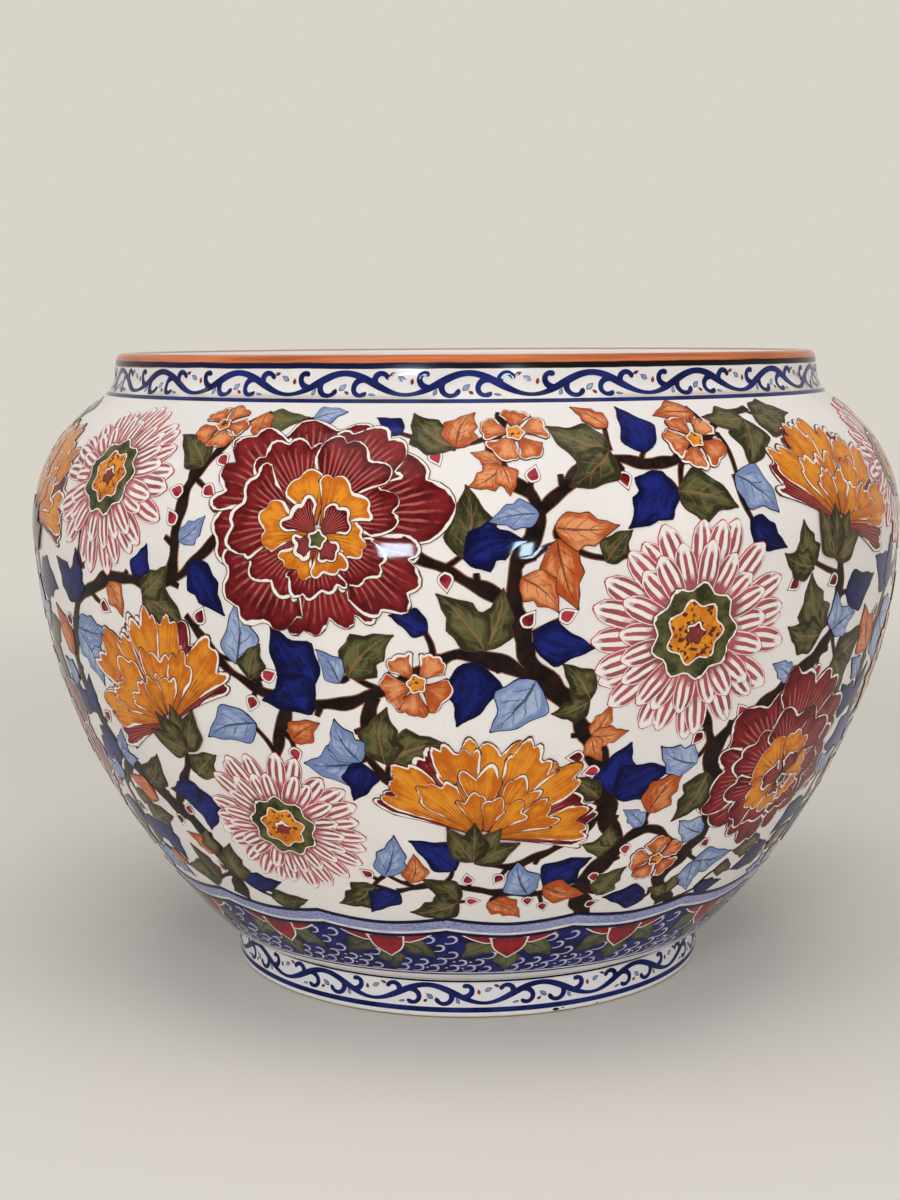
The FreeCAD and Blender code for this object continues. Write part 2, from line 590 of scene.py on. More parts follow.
# %% The lip
# Heights in mm between which each colour of the lip sets in
lip_line, lip_band, lip_edge = (293.7, 293.9), (294.2, 294.5), (296.6, 297.0)


def lip_glaze(mix):
    """Orange-brown outside the crown, a dark band under it, and a worn brown edge on the inner side."""
    height = mix.parts(mix.place)[2]
    level = height + (mix.noise(60.0) - 0.5) * (0.8 * MM)
    white = white_glaze(mix)
    line = mix.blend(mix.rise(mix.noise(5.0, 1.0), 0.45, 0.6) * 0.8, white, lip_orange)
    dark = mix.blend(mix.rise(mix.noise(6.0, 1.0), 0.45, 0.6), band_black, band_navy)
    drawn_out = mix.vector("MULTIPLY", mix.place, (0.12, 0.12, 3.0))
    streak = mix.rise(mix.noise(160.0, 3.0, place=drawn_out), 0.36, 0.7)
    orange = mix.blend(streak, lip_orange, lip_brown)
    outer = white
    for (low, high), colour in ((lip_line, line), (lip_band, dark), (lip_edge, orange)):
        outer = mix.blend(mix.rise(level, low * MM, high * MM), outer, colour)
    worn = mix.rise(height, lip_crown.imag - 1.1 * MM, lip_crown.imag - 0.7 * MM)
    inner = mix.blend(worn, white, lip_worn)
    past_crown = mix.rise(from_axis(mix), lip_crown.real - 0.5 * MM, lip_crown.real - 0.1 * MM)
    return mix.blend(past_crown, inner, outer)


section_paint["rim_lip"] = glazed("lip_glaze_orange", lip_glaze, roughness=0.14)
print("glazes of their own:", [paint.name for paint in section_paint.values()])

# %% Turn the six sections
outline_step = 2.2 * MM
columns_round = 320


def outline_mesh(name, points):
    mesh = bpy.data.meshes.new(name)
    mesh.from_pydata([(p.real, 0, p.imag) for p in points], [], [])
    return mesh


def turned_piece(name, points, paint, crease=40):
    """A closed piece of revolution from a closed outline that runs anticlockwise."""
    inputs = {"Rows": len(points), "Columns": columns_round, "Paint": paint}
    return grown(name, turning.tree, outline_mesh(name, points), inputs, crease)


body_pieces = {}
for name, stretches in sections.items():
    points = walk(stretches, outline_step)
    body_pieces[name] = turned_piece("glazed_" + name, points, section_paint.get(name, glaze))
print({name: len(piece.data.polygons) for name, piece in body_pieces.items()})

# %% [markdown]
# ## A flat sheet for the painter
#
# The decoration is drawn on a flat sheet and wrapped round the pot. Across the sheet is the way round,
# measured at the belly, and up the sheet is the way up the outline, stretched so that a circle on the
# sheet stays a circle on the pot (a conformal map, as on a sea chart). A ruler of points up the outline
# says, for each height on the sheet, where on the pot it is and which way is outward.

# %% The ruler up the outline
import numpy as np

ruler_rows = 1200


def between(at, rows, values):
    """Complex values read between rows."""
    return np.interp(at, rows, values.real) + 1j * np.interp(at, rows, values.imag)


foot_line = (complex(foot_radius, foot_bevel), complex(foot_radius, seat_height))
outer_line = [
    foot_line, cove, ledge, *flank, *shoulder, flare,
    (flare_end, lip_spring), (lip_spring, lip_centre, lip_crown), (lip_crown, lip_crown + 0.1 * MM),
]
fine = np.array(walk(outer_line, 0.4 * MM))
stretch = np.abs(np.diff(fine)) * belly.real / ((fine[1:] + fine[:-1]).real / 2)
sheet_of_fine = np.concatenate([[0], np.cumsum(stretch)])
sheet_of_fine -= sheet_of_fine[np.argmax(fine.real)]
sheet_rows = np.linspace(sheet_of_fine[0], sheet_of_fine[-1], ruler_rows)
ruler_line = between(sheet_rows, sheet_of_fine, fine)
upward = np.gradient(ruler_line)
outward = -1j * upward / np.abs(upward)
sheet_width = math.tau * belly.real


def sheet_up(height):
    """The sheet's height for a height on the pot."""
    return float(np.interp(height, fine.imag, sheet_of_fine))


def shrink(up):
    """How much smaller a thing is on the pot than on the sheet, at a height on the sheet."""
    return float(np.interp(up, sheet_rows, ruler_line.real)) / belly.real


def add_attribute(mesh, name, kind, values):
    layer = mesh.attributes.new(name, kind, "POINT")
    layer.data.foreach_set("vector" if kind == "FLOAT_VECTOR" else "value", np.asarray(values).ravel())


ruler_mesh = outline_mesh("ruler", ruler_line)
outward_steps = np.stack([outward.real, 0 * outward.real, outward.imag], 1)
add_attribute(ruler_mesh, "outward", "FLOAT_VECTOR", outward_steps)
ruler = placed(bpy.data.objects.new("ruler", ruler_mesh))
print(f"sheet {sheet_width / MM:.0f} mm round, {sheet_rows[0] / MM:.0f} to {sheet_rows[-1] / MM:.0f} mm up")

# %% [markdown]
# ### Wrapping motifs round the pot
#
# The tree `spray` puts copies of a few motifs on points of the flat sheet, each turned and scaled by the
# point's own attributes, and then bends the whole sheet round the pot with the ruler. What was height
# above the sheet becomes height above the glaze. The same tree lays leaves, flowers, scroll units and
# branches.

# %% The spray tree
bending, given = geometry_tree("spray", {
    "Motifs": "Collection", "Ruler": "Object", "Paint": "Material",
    "Belly Radius": "Float", "First Row": "Float", "Row Height": "Float",
})


def attribute(name, kind):
    return bending.add("GeometryNodeInputNamedAttribute", name, data_type=kind)


size = attribute("size", "FLOAT")
upright_turn = bending.joined(0.0, 0.0, attribute("turn", "FLOAT"))
copies = bending.add("GeometryNodeInstanceOnPoints", given["Geometry"], named={
    "Instance": bending.add("GeometryNodeCollectionInfo", given["Motifs"], True, True),
    "Pick Instance": True,
    "Instance Index": attribute("variant", "INT"),
    "Rotation": bending.add("FunctionNodeEulerToRotation", upright_turn),
    "Scale": bending.joined(size, size, 1.0),
})
flat = bending.add("GeometryNodeRealizeInstances", copies)
x, y, lift = bending.parts(bending.add("GeometryNodeInputPosition"))
ruler_geometry = bending.add("GeometryNodeObjectInfo", given["Ruler"], output="Geometry")
row = (y - given["First Row"]) / given["Row Height"]
lower_row = bending.math("FLOOR", row)
past_row = row - lower_row


def on_ruler(field):
    """A value of the ruler, read between its two nearest rows."""
    kind = dict(data_type="FLOAT_VECTOR", clamp=True)
    low, high = [
        bending.add("GeometryNodeSampleIndex", ruler_geometry, field, nearest, **kind)
        for nearest in (lower_row, lower_row + 1)
    ]
    return bending.vector("ADD", low, bending.scaled(bending.vector("SUBTRACT", high, low), past_row))


line_place = on_ruler(bending.add("GeometryNodeInputPosition"))
line_outward = on_ruler(attribute("outward", "FLOAT_VECTOR"))
radius, _, height = bending.parts(bending.vector("ADD", line_place, bending.scaled(line_outward, lift)))
wrapped_place = swung(bending, radius, height, x / given["Belly Radius"])
wrapped = bending.add("GeometryNodeSetPosition", flat, named={"Position": wrapped_place})
finish_tree(bending, wrapped, given["Paint"])
print("spray nodes:", len(bending.tree.nodes))

# %% [markdown]
# ### Brush strokes as thin tiles
#
# A brush stroke of enamel stands a tenth of a millimetre proud, with a soft rim. Each stroke, leaf or
# petal is a grid of places on the sheet, made into a closed tile with a crowned top. Every point also
# keeps a `mark`: where it is across and along the stroke and how far it is from the rim, so a shader can
# draw outlines, veins and hatching that follow the stroke.

# %% Grids and their rims
def rim_distance(places, rim):
    """How far each place is from the closed outline rim."""
    start = rim[None, :]
    step = np.roll(rim, -1)[None, :] - start
    offset = places[:, None] - start
    share = np.clip((offset * step.conj()).real / np.maximum(np.abs(step) ** 2, 1e-18), 0, 1)
    return np.abs(offset - share * step).min(1)


def shares(rows, columns):
    """Across (-1 to 1, closer together at the rims) and along (0 to 1) for a tile's grid."""
    even = np.linspace(-1, 1, columns + 1)[None, :]
    across = (even + np.sin(np.pi / 2 * even)) / 2
    along = np.linspace(0, 1, rows + 1)[:, None]
    return np.broadcast_arrays(across, along)


print("columns of a grid:", shares(1, 4)[0][0].round(2))

# %% Tiles
from itertools import zip_longest

rim_softness = 0.9 * MM
tile_depth = 0.5 * MM
tile_crown = 0.04 * MM


class Tiles:
    """Collects tiles that share one paint and makes one mesh of them."""

    def __init__(self):
        self.points, self.faces, self.marks, self.tones = [], [], [], []

    def lay(self, grid, lift=0.0, tone=0.0):
        """Adds a tile. The grid's columns go right and its rows go up; tone is its strength."""
        rows, columns = grid.shape
        across, along = shares(rows - 1, columns - 1)
        number = np.arange(grid.size).reshape(rows, columns)
        rim = np.concatenate([number[0, :-1], number[:-1, -1], number[-1, :0:-1], number[:0:-1, 0]])
        places = grid.ravel()
        edge = rim_distance(places, places[rim])
        crown = tile_crown * np.sqrt(np.clip(edge / rim_softness, 0, 1))
        first = len(self.points)
        foot = first + grid.size + np.arange(rim.size)
        self.points += list(zip(places.real, places.imag, lift + crown))
        self.points += [(p.real, p.imag, lift - tile_depth) for p in places[rim]]
        marks = np.stack([across.ravel(), along.ravel(), edge], 1)
        self.marks += [*marks, *marks[rim]]
        self.tones += [tone] * (grid.size + rim.size)
        corners = [number[:-1, :-1], number[:-1, 1:], number[1:, 1:], number[1:, :-1]]
        self.faces += (np.stack(corners, -1).reshape(-1, 4) + first).tolist()
        upper = rim + first
        sides = np.stack([upper, foot, np.roll(foot, -1), np.roll(upper, -1)], 1)
        self.faces += sides.tolist() + [foot[::-1].tolist()]

    def mesh(self, name):
        mesh = bpy.data.meshes.new(name)
        mesh.from_pydata(self.points, [], self.faces)
        add_attribute(mesh, "mark", "FLOAT_VECTOR", np.array(self.marks))
        add_attribute(mesh, "tone", "FLOAT", self.tones)
        return mesh


def tiles_of(name, grids, steps=()):
    """One mesh of tiles, each a step above the sheet, or on it where the steps have run out."""
    tiles = Tiles()
    for grid, step in zip_longest(grids, steps, fillvalue=0.0):
        tiles.lay(grid, step)
    return tiles.mesh(name)


square = tiles_of("square", [np.array([[0, 1], [1j, 1 + 1j]]) * MM])
print("faces of a tile with one cell:", len(square.polygons))
bpy.data.meshes.remove(square)

# %% [markdown]
# Paint lies over paint, so every kind of stroke has its own lift over the glaze. A spot says where on the
# sheet a motif goes, how it is turned and scaled, how high it lies, which drawing of it is taken, and how
# strong its colour is.

# %% Laying motifs on the pot
from collections import namedtuple

Spot = namedtuple("Spot", "place turn size lift variant tint", defaults=(0.0, 1.0, 0.0, 0, 0.0))
painted_pieces = []
golden_share = 0.618
sheet_inputs = {
    "Ruler": ruler,
    "Belly Radius": belly.real,
    "First Row": float(sheet_rows[0]),
    "Row Height": float(sheet_rows[1] - sheet_rows[0]),
}
lifts = {
    "scroll": 0.10 * MM,
    "ground": 0.05 * MM, "stripe": 0.08 * MM, "reserve": 0.12 * MM, "curls": 0.16 * MM,
    "border_leaves": 0.18 * MM, "half_blossoms": 0.24 * MM, "dark_lines": 0.34 * MM,
    "bark_edges": 0.06 * MM, "bark": 0.12 * MM,
    "buds": 0.17 * MM, "leaves": 0.22 * MM, "flowers": 0.42 * MM,
}


def spray(name, meshes, spots, paint):
    """Lays motifs on their spots and keeps the painted piece."""
    shelf = bpy.data.collections.new(name + ".motifs")
    for number, mesh in enumerate(meshes):
        shelf.objects.link(bpy.data.objects.new(f"{name}.motif_{number:02d}", mesh))
    source = bpy.data.meshes.new(name + ".spots")
    source.from_pydata([(spot.place.real, spot.place.imag, spot.lift) for spot in spots], [], [])
    for label, kind in (("turn", "FLOAT"), ("size", "FLOAT"), ("variant", "INT"), ("tint", "FLOAT")):
        add_attribute(source, label, kind, [getattr(spot, label) for spot in spots])
    inputs = {**sheet_inputs, "Motifs": shelf, "Paint": paint}
    painted_pieces.append(grown(name, bending.tree, source, inputs, crease=50))
    for motif in list(shelf.objects):
        bpy.data.objects.remove(motif)
    bpy.data.collections.remove(shelf)


def round_the_pot(count, lift, up=0.0, size=1.0, phase=0.5, shift=0.0):
    """Spots for a unit that is repeated round the pot."""
    places = [complex((k + phase) / count * sheet_width, up) + shift for k in range(count)]
    tints = [(k * golden_share) % 1 for k in range(count)]
    return [Spot(place, 0.0, size, lift, 0, tint) for place, tint in zip(places, tints)]


print("layers of paint:", len(lifts))

# %% [markdown]
# ## Borders
#
# Ruled lines are turned on the banding wheel: the pot spins and the brush stays. So they are turned
# pieces too, thin rings that follow the ruler. A paint is a function that mixes the colour under the
# glass, and most paints are a wash: two strengths of one colour, in soft pools.

# %% Ruled lines
def washed(dark, light, scale=90.0):
    """Watercolour: two strengths of one colour, in soft pools."""
    def colour(mix):
        return mix.blend(mix.rise(mix.noise(scale, 3.0, 0.6), 0.34, 0.68), dark, light)
    return colour


def ruled_line(name, height, width, paint):
    """A thin crowned ring at a height on the pot, both in mm."""
    middle = sheet_up(height * MM)
    half = width / 2 * MM / shrink(middle)
    share = np.linspace(-1, 1, 7)
    up = middle - half + 2 * half * (share + 1) / 2
    line = between(up, sheet_rows, ruler_line)
    out = between(up, sheet_rows, outward)
    crest = line + out * (0.05 * MM + 0.03 * width * MM * np.sqrt(1 - share ** 2))
    root = line - out * tile_depth
    painted_pieces.append(turned_piece(name, [*crest, *root[::-1]], paint, crease=70))


line_paint = glazed("line_blue", washed(navy_ink, cobalt, 70.0))
scroll_paint = glazed("scroll_cobalt", washed(scroll_dark, scroll_light, 60.0))
ruled_line("line_under_collar", 281.4, 2.2, scroll_paint)
ruled_line("line_over_foot", 17.9, 1.2, line_paint)
ruled_line("line_at_foot", 4.2, 2.4, scroll_paint)
print("ruled lines:", len(painted_pieces))

# %% [markdown]
# ### The scroll
#
# A wave of cobalt with four curls to a turn runs round the collar and the foot, an ornament found on
# pottery everywhere. A curl is a stroke whose direction turns faster and faster, so it is described by
# where it starts, which way it sets off, how far it turns and how long it is. It leaves its stem broad,
# thins and ends in a small drop.

# %% Strokes and their paths
def ribbon(path, half_width, columns=4):
    """The grid of a stroke with a half width at each point of its path."""
    path = np.asarray(path)
    ahead = np.gradient(path)
    right = -1j * ahead / np.abs(ahead)
    across = shares(1, columns)[0][0]
    return path[:, None] + right[:, None] * np.asarray(half_width)[:, None] * across[None, :]


def curl_path(start, set_off, sweep, length, quicken=1.5, points=22):
    """A path that leaves at set_off degrees and turns by sweep degrees, quicker towards its end."""
    share = np.linspace(0, 1, points)
    way = np.radians(set_off + sweep * share ** quicken)
    steps = np.exp(1j * (way[1:] + way[:-1]) / 2) * length / (points - 1)
    return start + np.concatenate([[0], np.cumsum(steps)])


print("a half turn of length 1 ends at", curl_path(0, 0, 180, 1)[-1].round(2))

# %% The scroll unit
scroll_period = 52.0
scroll_rise = 4.6


def stem_at(x):
    return x + 1j * scroll_rise * np.cos(math.tau * x / scroll_period)


def curl(x, set_off, sweep, length, width, drop, quicken):
    """A curl that leaves the stem at x broad, thins and ends in a small drop."""
    path = curl_path(stem_at(x), set_off, sweep, length, quicken)
    share = np.linspace(0, 1, len(path))
    swell = width * (1.1 - 0.46 * share)
    end_drop = drop * np.exp(-((share - 0.9) / 0.09) ** 2)
    close = np.sqrt(np.clip((1.003 - share) / 0.07, 0, 1))
    return ribbon(path, (swell + end_drop) / 2 * np.maximum(close, 0.12))


def bud(place, way, length, width):
    """A small pointed bud."""
    share = np.linspace(0, 1, 8)
    path = place + np.exp(1j * np.radians(way)) * length * (share - 0.5)
    return ribbon(path, width / 2 * np.sin(np.pi * np.clip(share, 0.04, 0.985) ** 0.8))


stem_x = np.linspace(-0.5, 0.5, 49) * scroll_period
stem_turn = math.tau * stem_x / scroll_period
stem_width = 2.15 + 0.4 * np.cos(stem_turn) + 1.0 * np.sin(stem_turn) ** 2
scroll_strokes = [
    ribbon(stem_at(stem_x), stem_width / 2),
    curl(-9.3, 7, -253, 15.6, 2.6, 0.5, 1.34),
    curl(10.5, -61, -208, 13.9, 2.6, 0.5, 1.2),
    curl(16.3, 15, 229, 11.8, 2.8, 0.5, 1.64),
    curl(-13.2, 65, 203, 10.6, 2.7, 0.4, 1.12),
]
red_buds = [
    bud(-0.8 - 3.6j, 35, 2.4, 1.5), bud(23.4 + 1.2j, 100, 2.7, 1.6), bud(-20.6 + 4.3j, 160, 2.9, 1.5),
]
blue_buds = [
    bud(1.0 - 1.3j, 140, 4.0, 2.4), bud(13.8 - 3.5j, 115, 3.2, 1.8),
    bud(-11.9 - 4.6j, 190, 3.2, 1.2), bud(-24.2 + 2.4j, 30, 3.6, 2.2),
]
print("strokes in a unit:", len(scroll_strokes), "buds:", len(red_buds) + len(blue_buds))

# %% [markdown]
# The buds between the curls have a fine inked rim, which reads the stroke's own marks. On the collar the
# unit is seen as in a mirror, and on the foot it is a little flatter.

# %% Lay the scroll round collar and foot
Marks = namedtuple("Marks", "across along edge tone")


def marks(mix):
    """Where a point is across and along its stroke and how far from the rim, and the stroke's tone."""
    mark = mix.add("ShaderNodeAttribute", output=1, attribute_name="mark")
    tint = mix.add("ShaderNodeAttribute", output=2, attribute_name="tint")
    tone = mix.add("ShaderNodeAttribute", output=2, attribute_name="tone")
    return Marks(*mix.parts(mark), mix.math("FRACT", tint + tone))


def outlined(inside_of, ink, width=0.45 * MM):
    """A paint with a fine inked rim of slightly uneven width."""
    def colour(mix):
        edge = marks(mix).edge + mix.noise(260.0, 1.0) * (0.3 * MM)
        return mix.blend(mix.rise(edge, width, width * 1.5), ink, inside_of(mix))
    return colour


def mirrored(grid):
    """The same stroke as in a mirror, its columns turned round so that it still faces outward."""
    return -np.conj(grid)[:, ::-1]


def flattened(grid):
    """The same stroke, a tenth lower."""
    return grid.real + 0.9j * grid.imag


bud_rim = 0.3 * MM
stroke_step = 0.012 * MM
red_bud = outlined(washed(crimson_light, rose_red), brown_ink, bud_rim)
blue_bud = outlined(washed(pale_blue, pale_blue_light), navy_ink, bud_rim)
scroll_kinds = {
    "scroll": (scroll_strokes, scroll_paint),
    "buds_red": (red_buds, glazed("border_red", red_bud)),
    "buds_blue": (blue_buds, glazed("border_blue", blue_bud)),
}


def scroll_border(name, count, low, high, phase, seen):
    """Scroll units round the pot between two heights, in mm."""
    up = (sheet_up(low * MM) + sheet_up(high * MM)) / 2
    size = sheet_width / count / (scroll_period * MM)
    spots = round_the_pot(count, lifts["scroll"], up, size, phase)
    for kind, (grids, paint) in scroll_kinds.items():
        steps = [stroke_step * number for number in range(len(grids))]
        spray(f"{name}_{kind}", [tiles_of(kind, [seen(grid) * MM for grid in grids], steps)], spots, paint)


collar_units, foot_units = 21, 14
scroll_border("collar", collar_units, 283.0, 293.6, 0.0, mirrored)
scroll_border("foot", foot_units, 5.8, 17.5, 0.626, flattened)
print("scroll units:", collar_units + foot_units)

# %% [markdown]
# ### The scalloped band
#
# Above the foot hangs a band with seventeen scallops: a stippled stripe between dark lines, and a cobalt
# ground with lilac waves, half blossoms and leaves. One scallop is drawn on the sheet, and seventeen
# copies go round.

# %% The shape of a scallop
scallops = 17
scallop_width = sheet_width / scallops
scallop_shift = -14.6 * MM
cusp_up = sheet_up(60.7 * MM)
sag_up = sheet_up(57.3 * MM)
ground_bottom = sheet_up(24.9 * MM)
band_shrink = shrink(sag_up)
scallop_x = np.linspace(-0.5, 0.5, 25)[None, :] * scallop_width


def under_top(x, depth):
    """The sheet's height at a depth in mm, as measured on the pot, under the scallop's top edge."""
    scallop_top = sag_up + (cusp_up - sag_up) * np.abs(2 * x / scallop_width) ** 1.7
    return scallop_top - depth * MM / band_shrink


def strip(low, high, rows=2):
    """A strip of one scallop between two heights on the sheet."""
    return scallop_x + 1j * (low + (high - low) * np.linspace(0, 1, rows + 1)[:, None])


def hung(upper, lower):
    """A strip of one scallop between two depths under its top edge, in mm."""
    return strip(under_top(scallop_x, lower), under_top(scallop_x, upper))


print("scallop width on the pot:", round(scallop_width * band_shrink / MM, 1), "mm")

# %% Stripe, lines and ground of a scallop
def scallop_piece(name, grids, layer, paint, step=0.03 * MM):
    """One scallop's tiles of one paint, laid on every scallop."""
    steps = [step * (number % 4) for number in range(len(grids))]
    spots = round_the_pot(scallops, lifts[layer], shift=scallop_shift)
    spray(name, [tiles_of(name, grids, steps)], spots, paint)


def stippled(mix):
    """Pale grey-blue, stippled with a finer, darker grain."""
    pool = mix.rise(mix.noise(70.0, 2.0), 0.3, 0.7)
    grain = mix.rise(mix.noise(900.0, 2.0, 0.7), 0.42, 0.62)
    return mix.blend(grain * (0.45 + pool * 0.45), stripe_pale, stripe_mark)


ground = strip(ground_bottom, under_top(scallop_x, 9.6), rows=14)
low_reserve = strip(ground_bottom + 2.4 * MM, ground_bottom + 3.8 * MM, rows=1)
ground_paint = glazed("ground_cobalt", washed(ground_dark, ground_light, 160.0))
stripe_paint = glazed("stripe_stippled", stippled)
reserve_paint = glazed("reserve_white", washed(reserve_grey, warm_white, 120.0))
scallop_piece("scallop_ground", [ground], "ground", ground_paint)
scallop_piece("scallop_stripe", [hung(1.2, 7.8)], "stripe", stripe_paint)
scallop_piece("scallop_reserve", [hung(7.6, 9.8), low_reserve], "reserve", reserve_paint)
scallop_piece("scallop_lines", [hung(0.0, 1.8), hung(9.3, 11.3)], "dark_lines", line_paint)
print("painted pieces so far:", len(painted_pieces))

# %% [markdown]
# The half blossom hangs from the lower dark line: a bell in the middle, two narrow wings that hug the
# line, and three leaves.

# %% Half blossom and its leaves
blossom_depth = 10.4
blossom_top = under_top(0.0, blossom_depth)


def leaf_grid(length, width, bend=0.0, lobes=3, cut=0.14, rows=15):
    """A leaf that stands on its stalk at 0 and points up the sheet, its halves lobed unevenly."""
    across, along = shares(rows, 4)
    half = width / 2 * np.sin(np.pi * along ** 0.72) * (1.15 - 0.3 * along)
    turn = 2 * np.pi * (lobes * along + 0.3 * np.sign(across))
    wave = (np.sin(turn) + 0.3 * np.sin(1.5 * turn + 1)) * np.sin(np.pi * along) ** 0.7
    spine = length * (1j * along + bend * (along * (1 - along) - 0.5 * np.clip(along - 0.55, 0, 1) ** 2))
    return spine + np.maximum(half * (1 + cut * wave), 0.02 * width) * across


def bell_grid(length, width):
    """A bell that hangs from 0, with full sides and a bluntly pointed hem."""
    across, along = shares(10, 12)
    out = np.abs(across)
    hem = 0.74 * np.sqrt(1 - out ** 3.2) + 0.26 * (1 - out) ** 2.6
    return (width / 2 * across * (1 - 0.1 * along) - 1j * length * along * np.maximum(hem, 0.03))[::-1]


def wing_grid(side):
    """A narrow wing under the dark line, from the bell outwards."""
    x = np.linspace(8.0, 31.0, 12) * MM
    half = np.interp(x / MM, [8, 14, 22, 31], [3.4, 4.2, 2.8, 0.35]) * MM
    return ribbon(side * x + 1j * (under_top(x, blossom_depth) - half), half)


def turned_by(grid, degrees, place=0j):
    return grid * np.exp(1j * np.radians(degrees)) + place


half_blossom = [wing_grid(-1), wing_grid(1), bell_grid(25 * MM, 27 * MM) + 1j * blossom_top]
blossom_leaves = []
for lean, x, down, length, bend in ((-50, -9, 6, 29, 0.2), (50, 9, 6, 29, -0.2), (0, 0, 16, 26, 0.0)):
    stalk = complex(x, blossom_top / MM - down) * MM
    blossom_leaves.append(turned_by(leaf_grid(length * MM, 18 * MM, bend, 2, 0.16), 180 + lean, stalk))
print("bell's top on the sheet:", round(blossom_top / MM, 1), "mm")

# %% [markdown]
# Lilac curls, with a few dashes between them, fill the ground like small waves, row over row, wherever
# the blossom leaves room.

# %% Waves on the ground
import random

wave_points = 11
wave_widths = np.interp(np.linspace(0, 1, wave_points), [0, 0.4, 0.75, 1], [0.6, 1.2, 2.0, 0.9]) * MM
dash_widths = [0.4 * MM, 0.7 * MM, 0.4 * MM]
pitch_across, pitch_up = 11.4 * MM, 9.0 * MM


def scallop_waves(dice):
    """Curls like breaking waves and the dashes between them, as grids."""
    covered = np.concatenate([grid.ravel() for grid in half_blossom + blossom_leaves])
    first_x = -scallop_width / 2 + 0.25 * pitch_across
    last_x = scallop_width / 2 - 0.4 * pitch_across
    waves = []
    for row in range(7):
        up = ground_bottom + 5.2 * MM + row * pitch_up
        x = first_x + 0.5 * pitch_across * (row % 2)
        while x < last_x:
            middle = complex(x, up + 3 * MM)
            if np.abs(covered - middle).min() < 3.2 * MM or under_top(x, 15.0) < up + 2 * MM:
                x += 1.2 * MM
                continue
            start = complex(x - dice.uniform(4.8, 5.8) * MM, up + dice.uniform(0.0, 0.8) * MM)
            set_off, length = dice.uniform(-16, -4), dice.uniform(17, 19.5) * MM
            path = curl_path(start, set_off, 240, length, 1.7, wave_points)
            waves.append(ribbon(path, wave_widths / 2, columns=2))
            dash_way = cmath.exp(1j * dice.uniform(-0.6, 0.6)) * 0.9 * MM
            dash = middle + complex(-0.45 * pitch_across, dice.uniform(1.0, 2.4) * MM)
            if dice.random() < 0.5:
                waves.append(ribbon([dash - dash_way, dash, dash + dash_way], dash_widths, columns=2))
            x += pitch_across
    return waves


waves = scallop_waves(random.Random(5))
curl_paint = glazed("curl_lilac", washed(curl_grey, reserve_grey, 120.0))
scallop_piece("scallop_curls", waves, "curls", curl_paint, step=0.0)
print("strokes in a scallop:", len(waves))

# %% [markdown]
# Leaves and blossoms are painted with a full brush: streaks run along the stroke, and the colour is
# thinner in the middle. Veins, hatching and margins are drawn over that with the stroke's own marks.

# %% Paints for leaves
def brushed(dark, light, streaks=2.5):
    """Enamel from a full brush: streaks along the stroke and blotches, lighter in the middle."""
    def colour(mix):
        stroke = marks(mix)
        in_stroke = mix.joined(stroke.across * streaks, stroke.along, stroke.tone * 50.0)
        streak = mix.noise(1.6, 3.0, 0.6, place=in_stroke)
        blotch = mix.noise(150.0, 3.0, 0.6)
        pool = mix.rise(stroke.edge, 0.3 * MM, 4.5 * MM) * 0.14
        strength = (streak + blotch) * 0.5 + pool - stroke.tone * 0.1
        return mix.blend(mix.rise(strength, 0.43, 0.69), dark, light)
    return colour


def veined(dark, light, ink, vein, strength=0.8):
    """A leaf's paint: brushed, with midrib, slanting veins and an inked rim."""
    def colour(mix):
        stroke = marks(mix)
        waver = (mix.noise(150.0) - 0.5) * 0.5
        out = mix.math("ABSOLUTE", stroke.across + waver * 0.4)
        rib_width = 0.075 - stroke.along * 0.05
        rib = 1.0 - mix.rise(out - rib_width, -0.02, 0.03)
        slant = (stroke.along + waver * 0.3) * 4.6 - out * 1.5
        beat = mix.math("ABSOLUTE", mix.math("FRACT", slant) - 0.5)
        veins = mix.fall(beat, 0.04, 0.03) * mix.fall(out, 0.6, 0.15)
        lines = mix.math("MAXIMUM", rib, veins) * strength
        return mix.blend(lines, brushed(dark, light)(mix), vein)
    return outlined(colour, ink)


border_leaf_paint = glazed("border_leaf", veined(border_olive, border_olive_light, bark, navy_ink, 0.6))
scallop_piece("scallop_leaves", blossom_leaves, "border_leaves", border_leaf_paint)
print("nodes of a leaf's paint:", len(border_leaf_paint.node_tree.nodes))

# %% Paint for the half blossoms
def comb(mix, across, teeth, low, high):
    """Fine strokes side by side, unevenly wide."""
    shift = mix.noise(140.0, 1.0) * 2.0
    return mix.rise(mix.math("SINE", across * teeth + shift), low, high)


def margined(inside_of, white, low, high):
    """A paint with a white margin along the rim, which ends between two distances from it."""
    def colour(mix):
        return mix.blend(mix.rise(marks(mix).edge, low * MM, high * MM), white, inside_of(mix))
    return colour


def hatched_red(mix):
    """Red, with dark hatching where the blossom hangs from the line."""
    stroke = marks(mix)
    hatch = comb(mix, stroke.across, 44.0, -0.2, 0.5) * mix.rise(stroke.along, 0.68, 0.9)
    return mix.blend(hatch, washed(crimson_light, border_rose, 150.0)(mix), hatch_plum)


half_blossom_paint = glazed("half_blossom_red", margined(hatched_red, warm_white, 0.9, 1.1))
scallop_piece("scallop_blossoms", half_blossom, "half_blossoms", half_blossom_paint)
print("border pieces:", len(painted_pieces))

# %% [markdown]
# ## The flowering thicket
#
# The belly carries an all-over design of flowers, leaves and dark branches. A thicket like this is laid
# out in the order of the eye: large flowers first, then the branches that carry them, then leaves and
# buds wherever there is room. The design repeats three times round the pot, and each third gets leaves
# of its own strength of colour. Places are in mm on the sheet, from the front of the belly.

# %% Places of the flowers and branches
thirds = 3
third_width = sheet_width / thirds
third_mm = third_width / MM

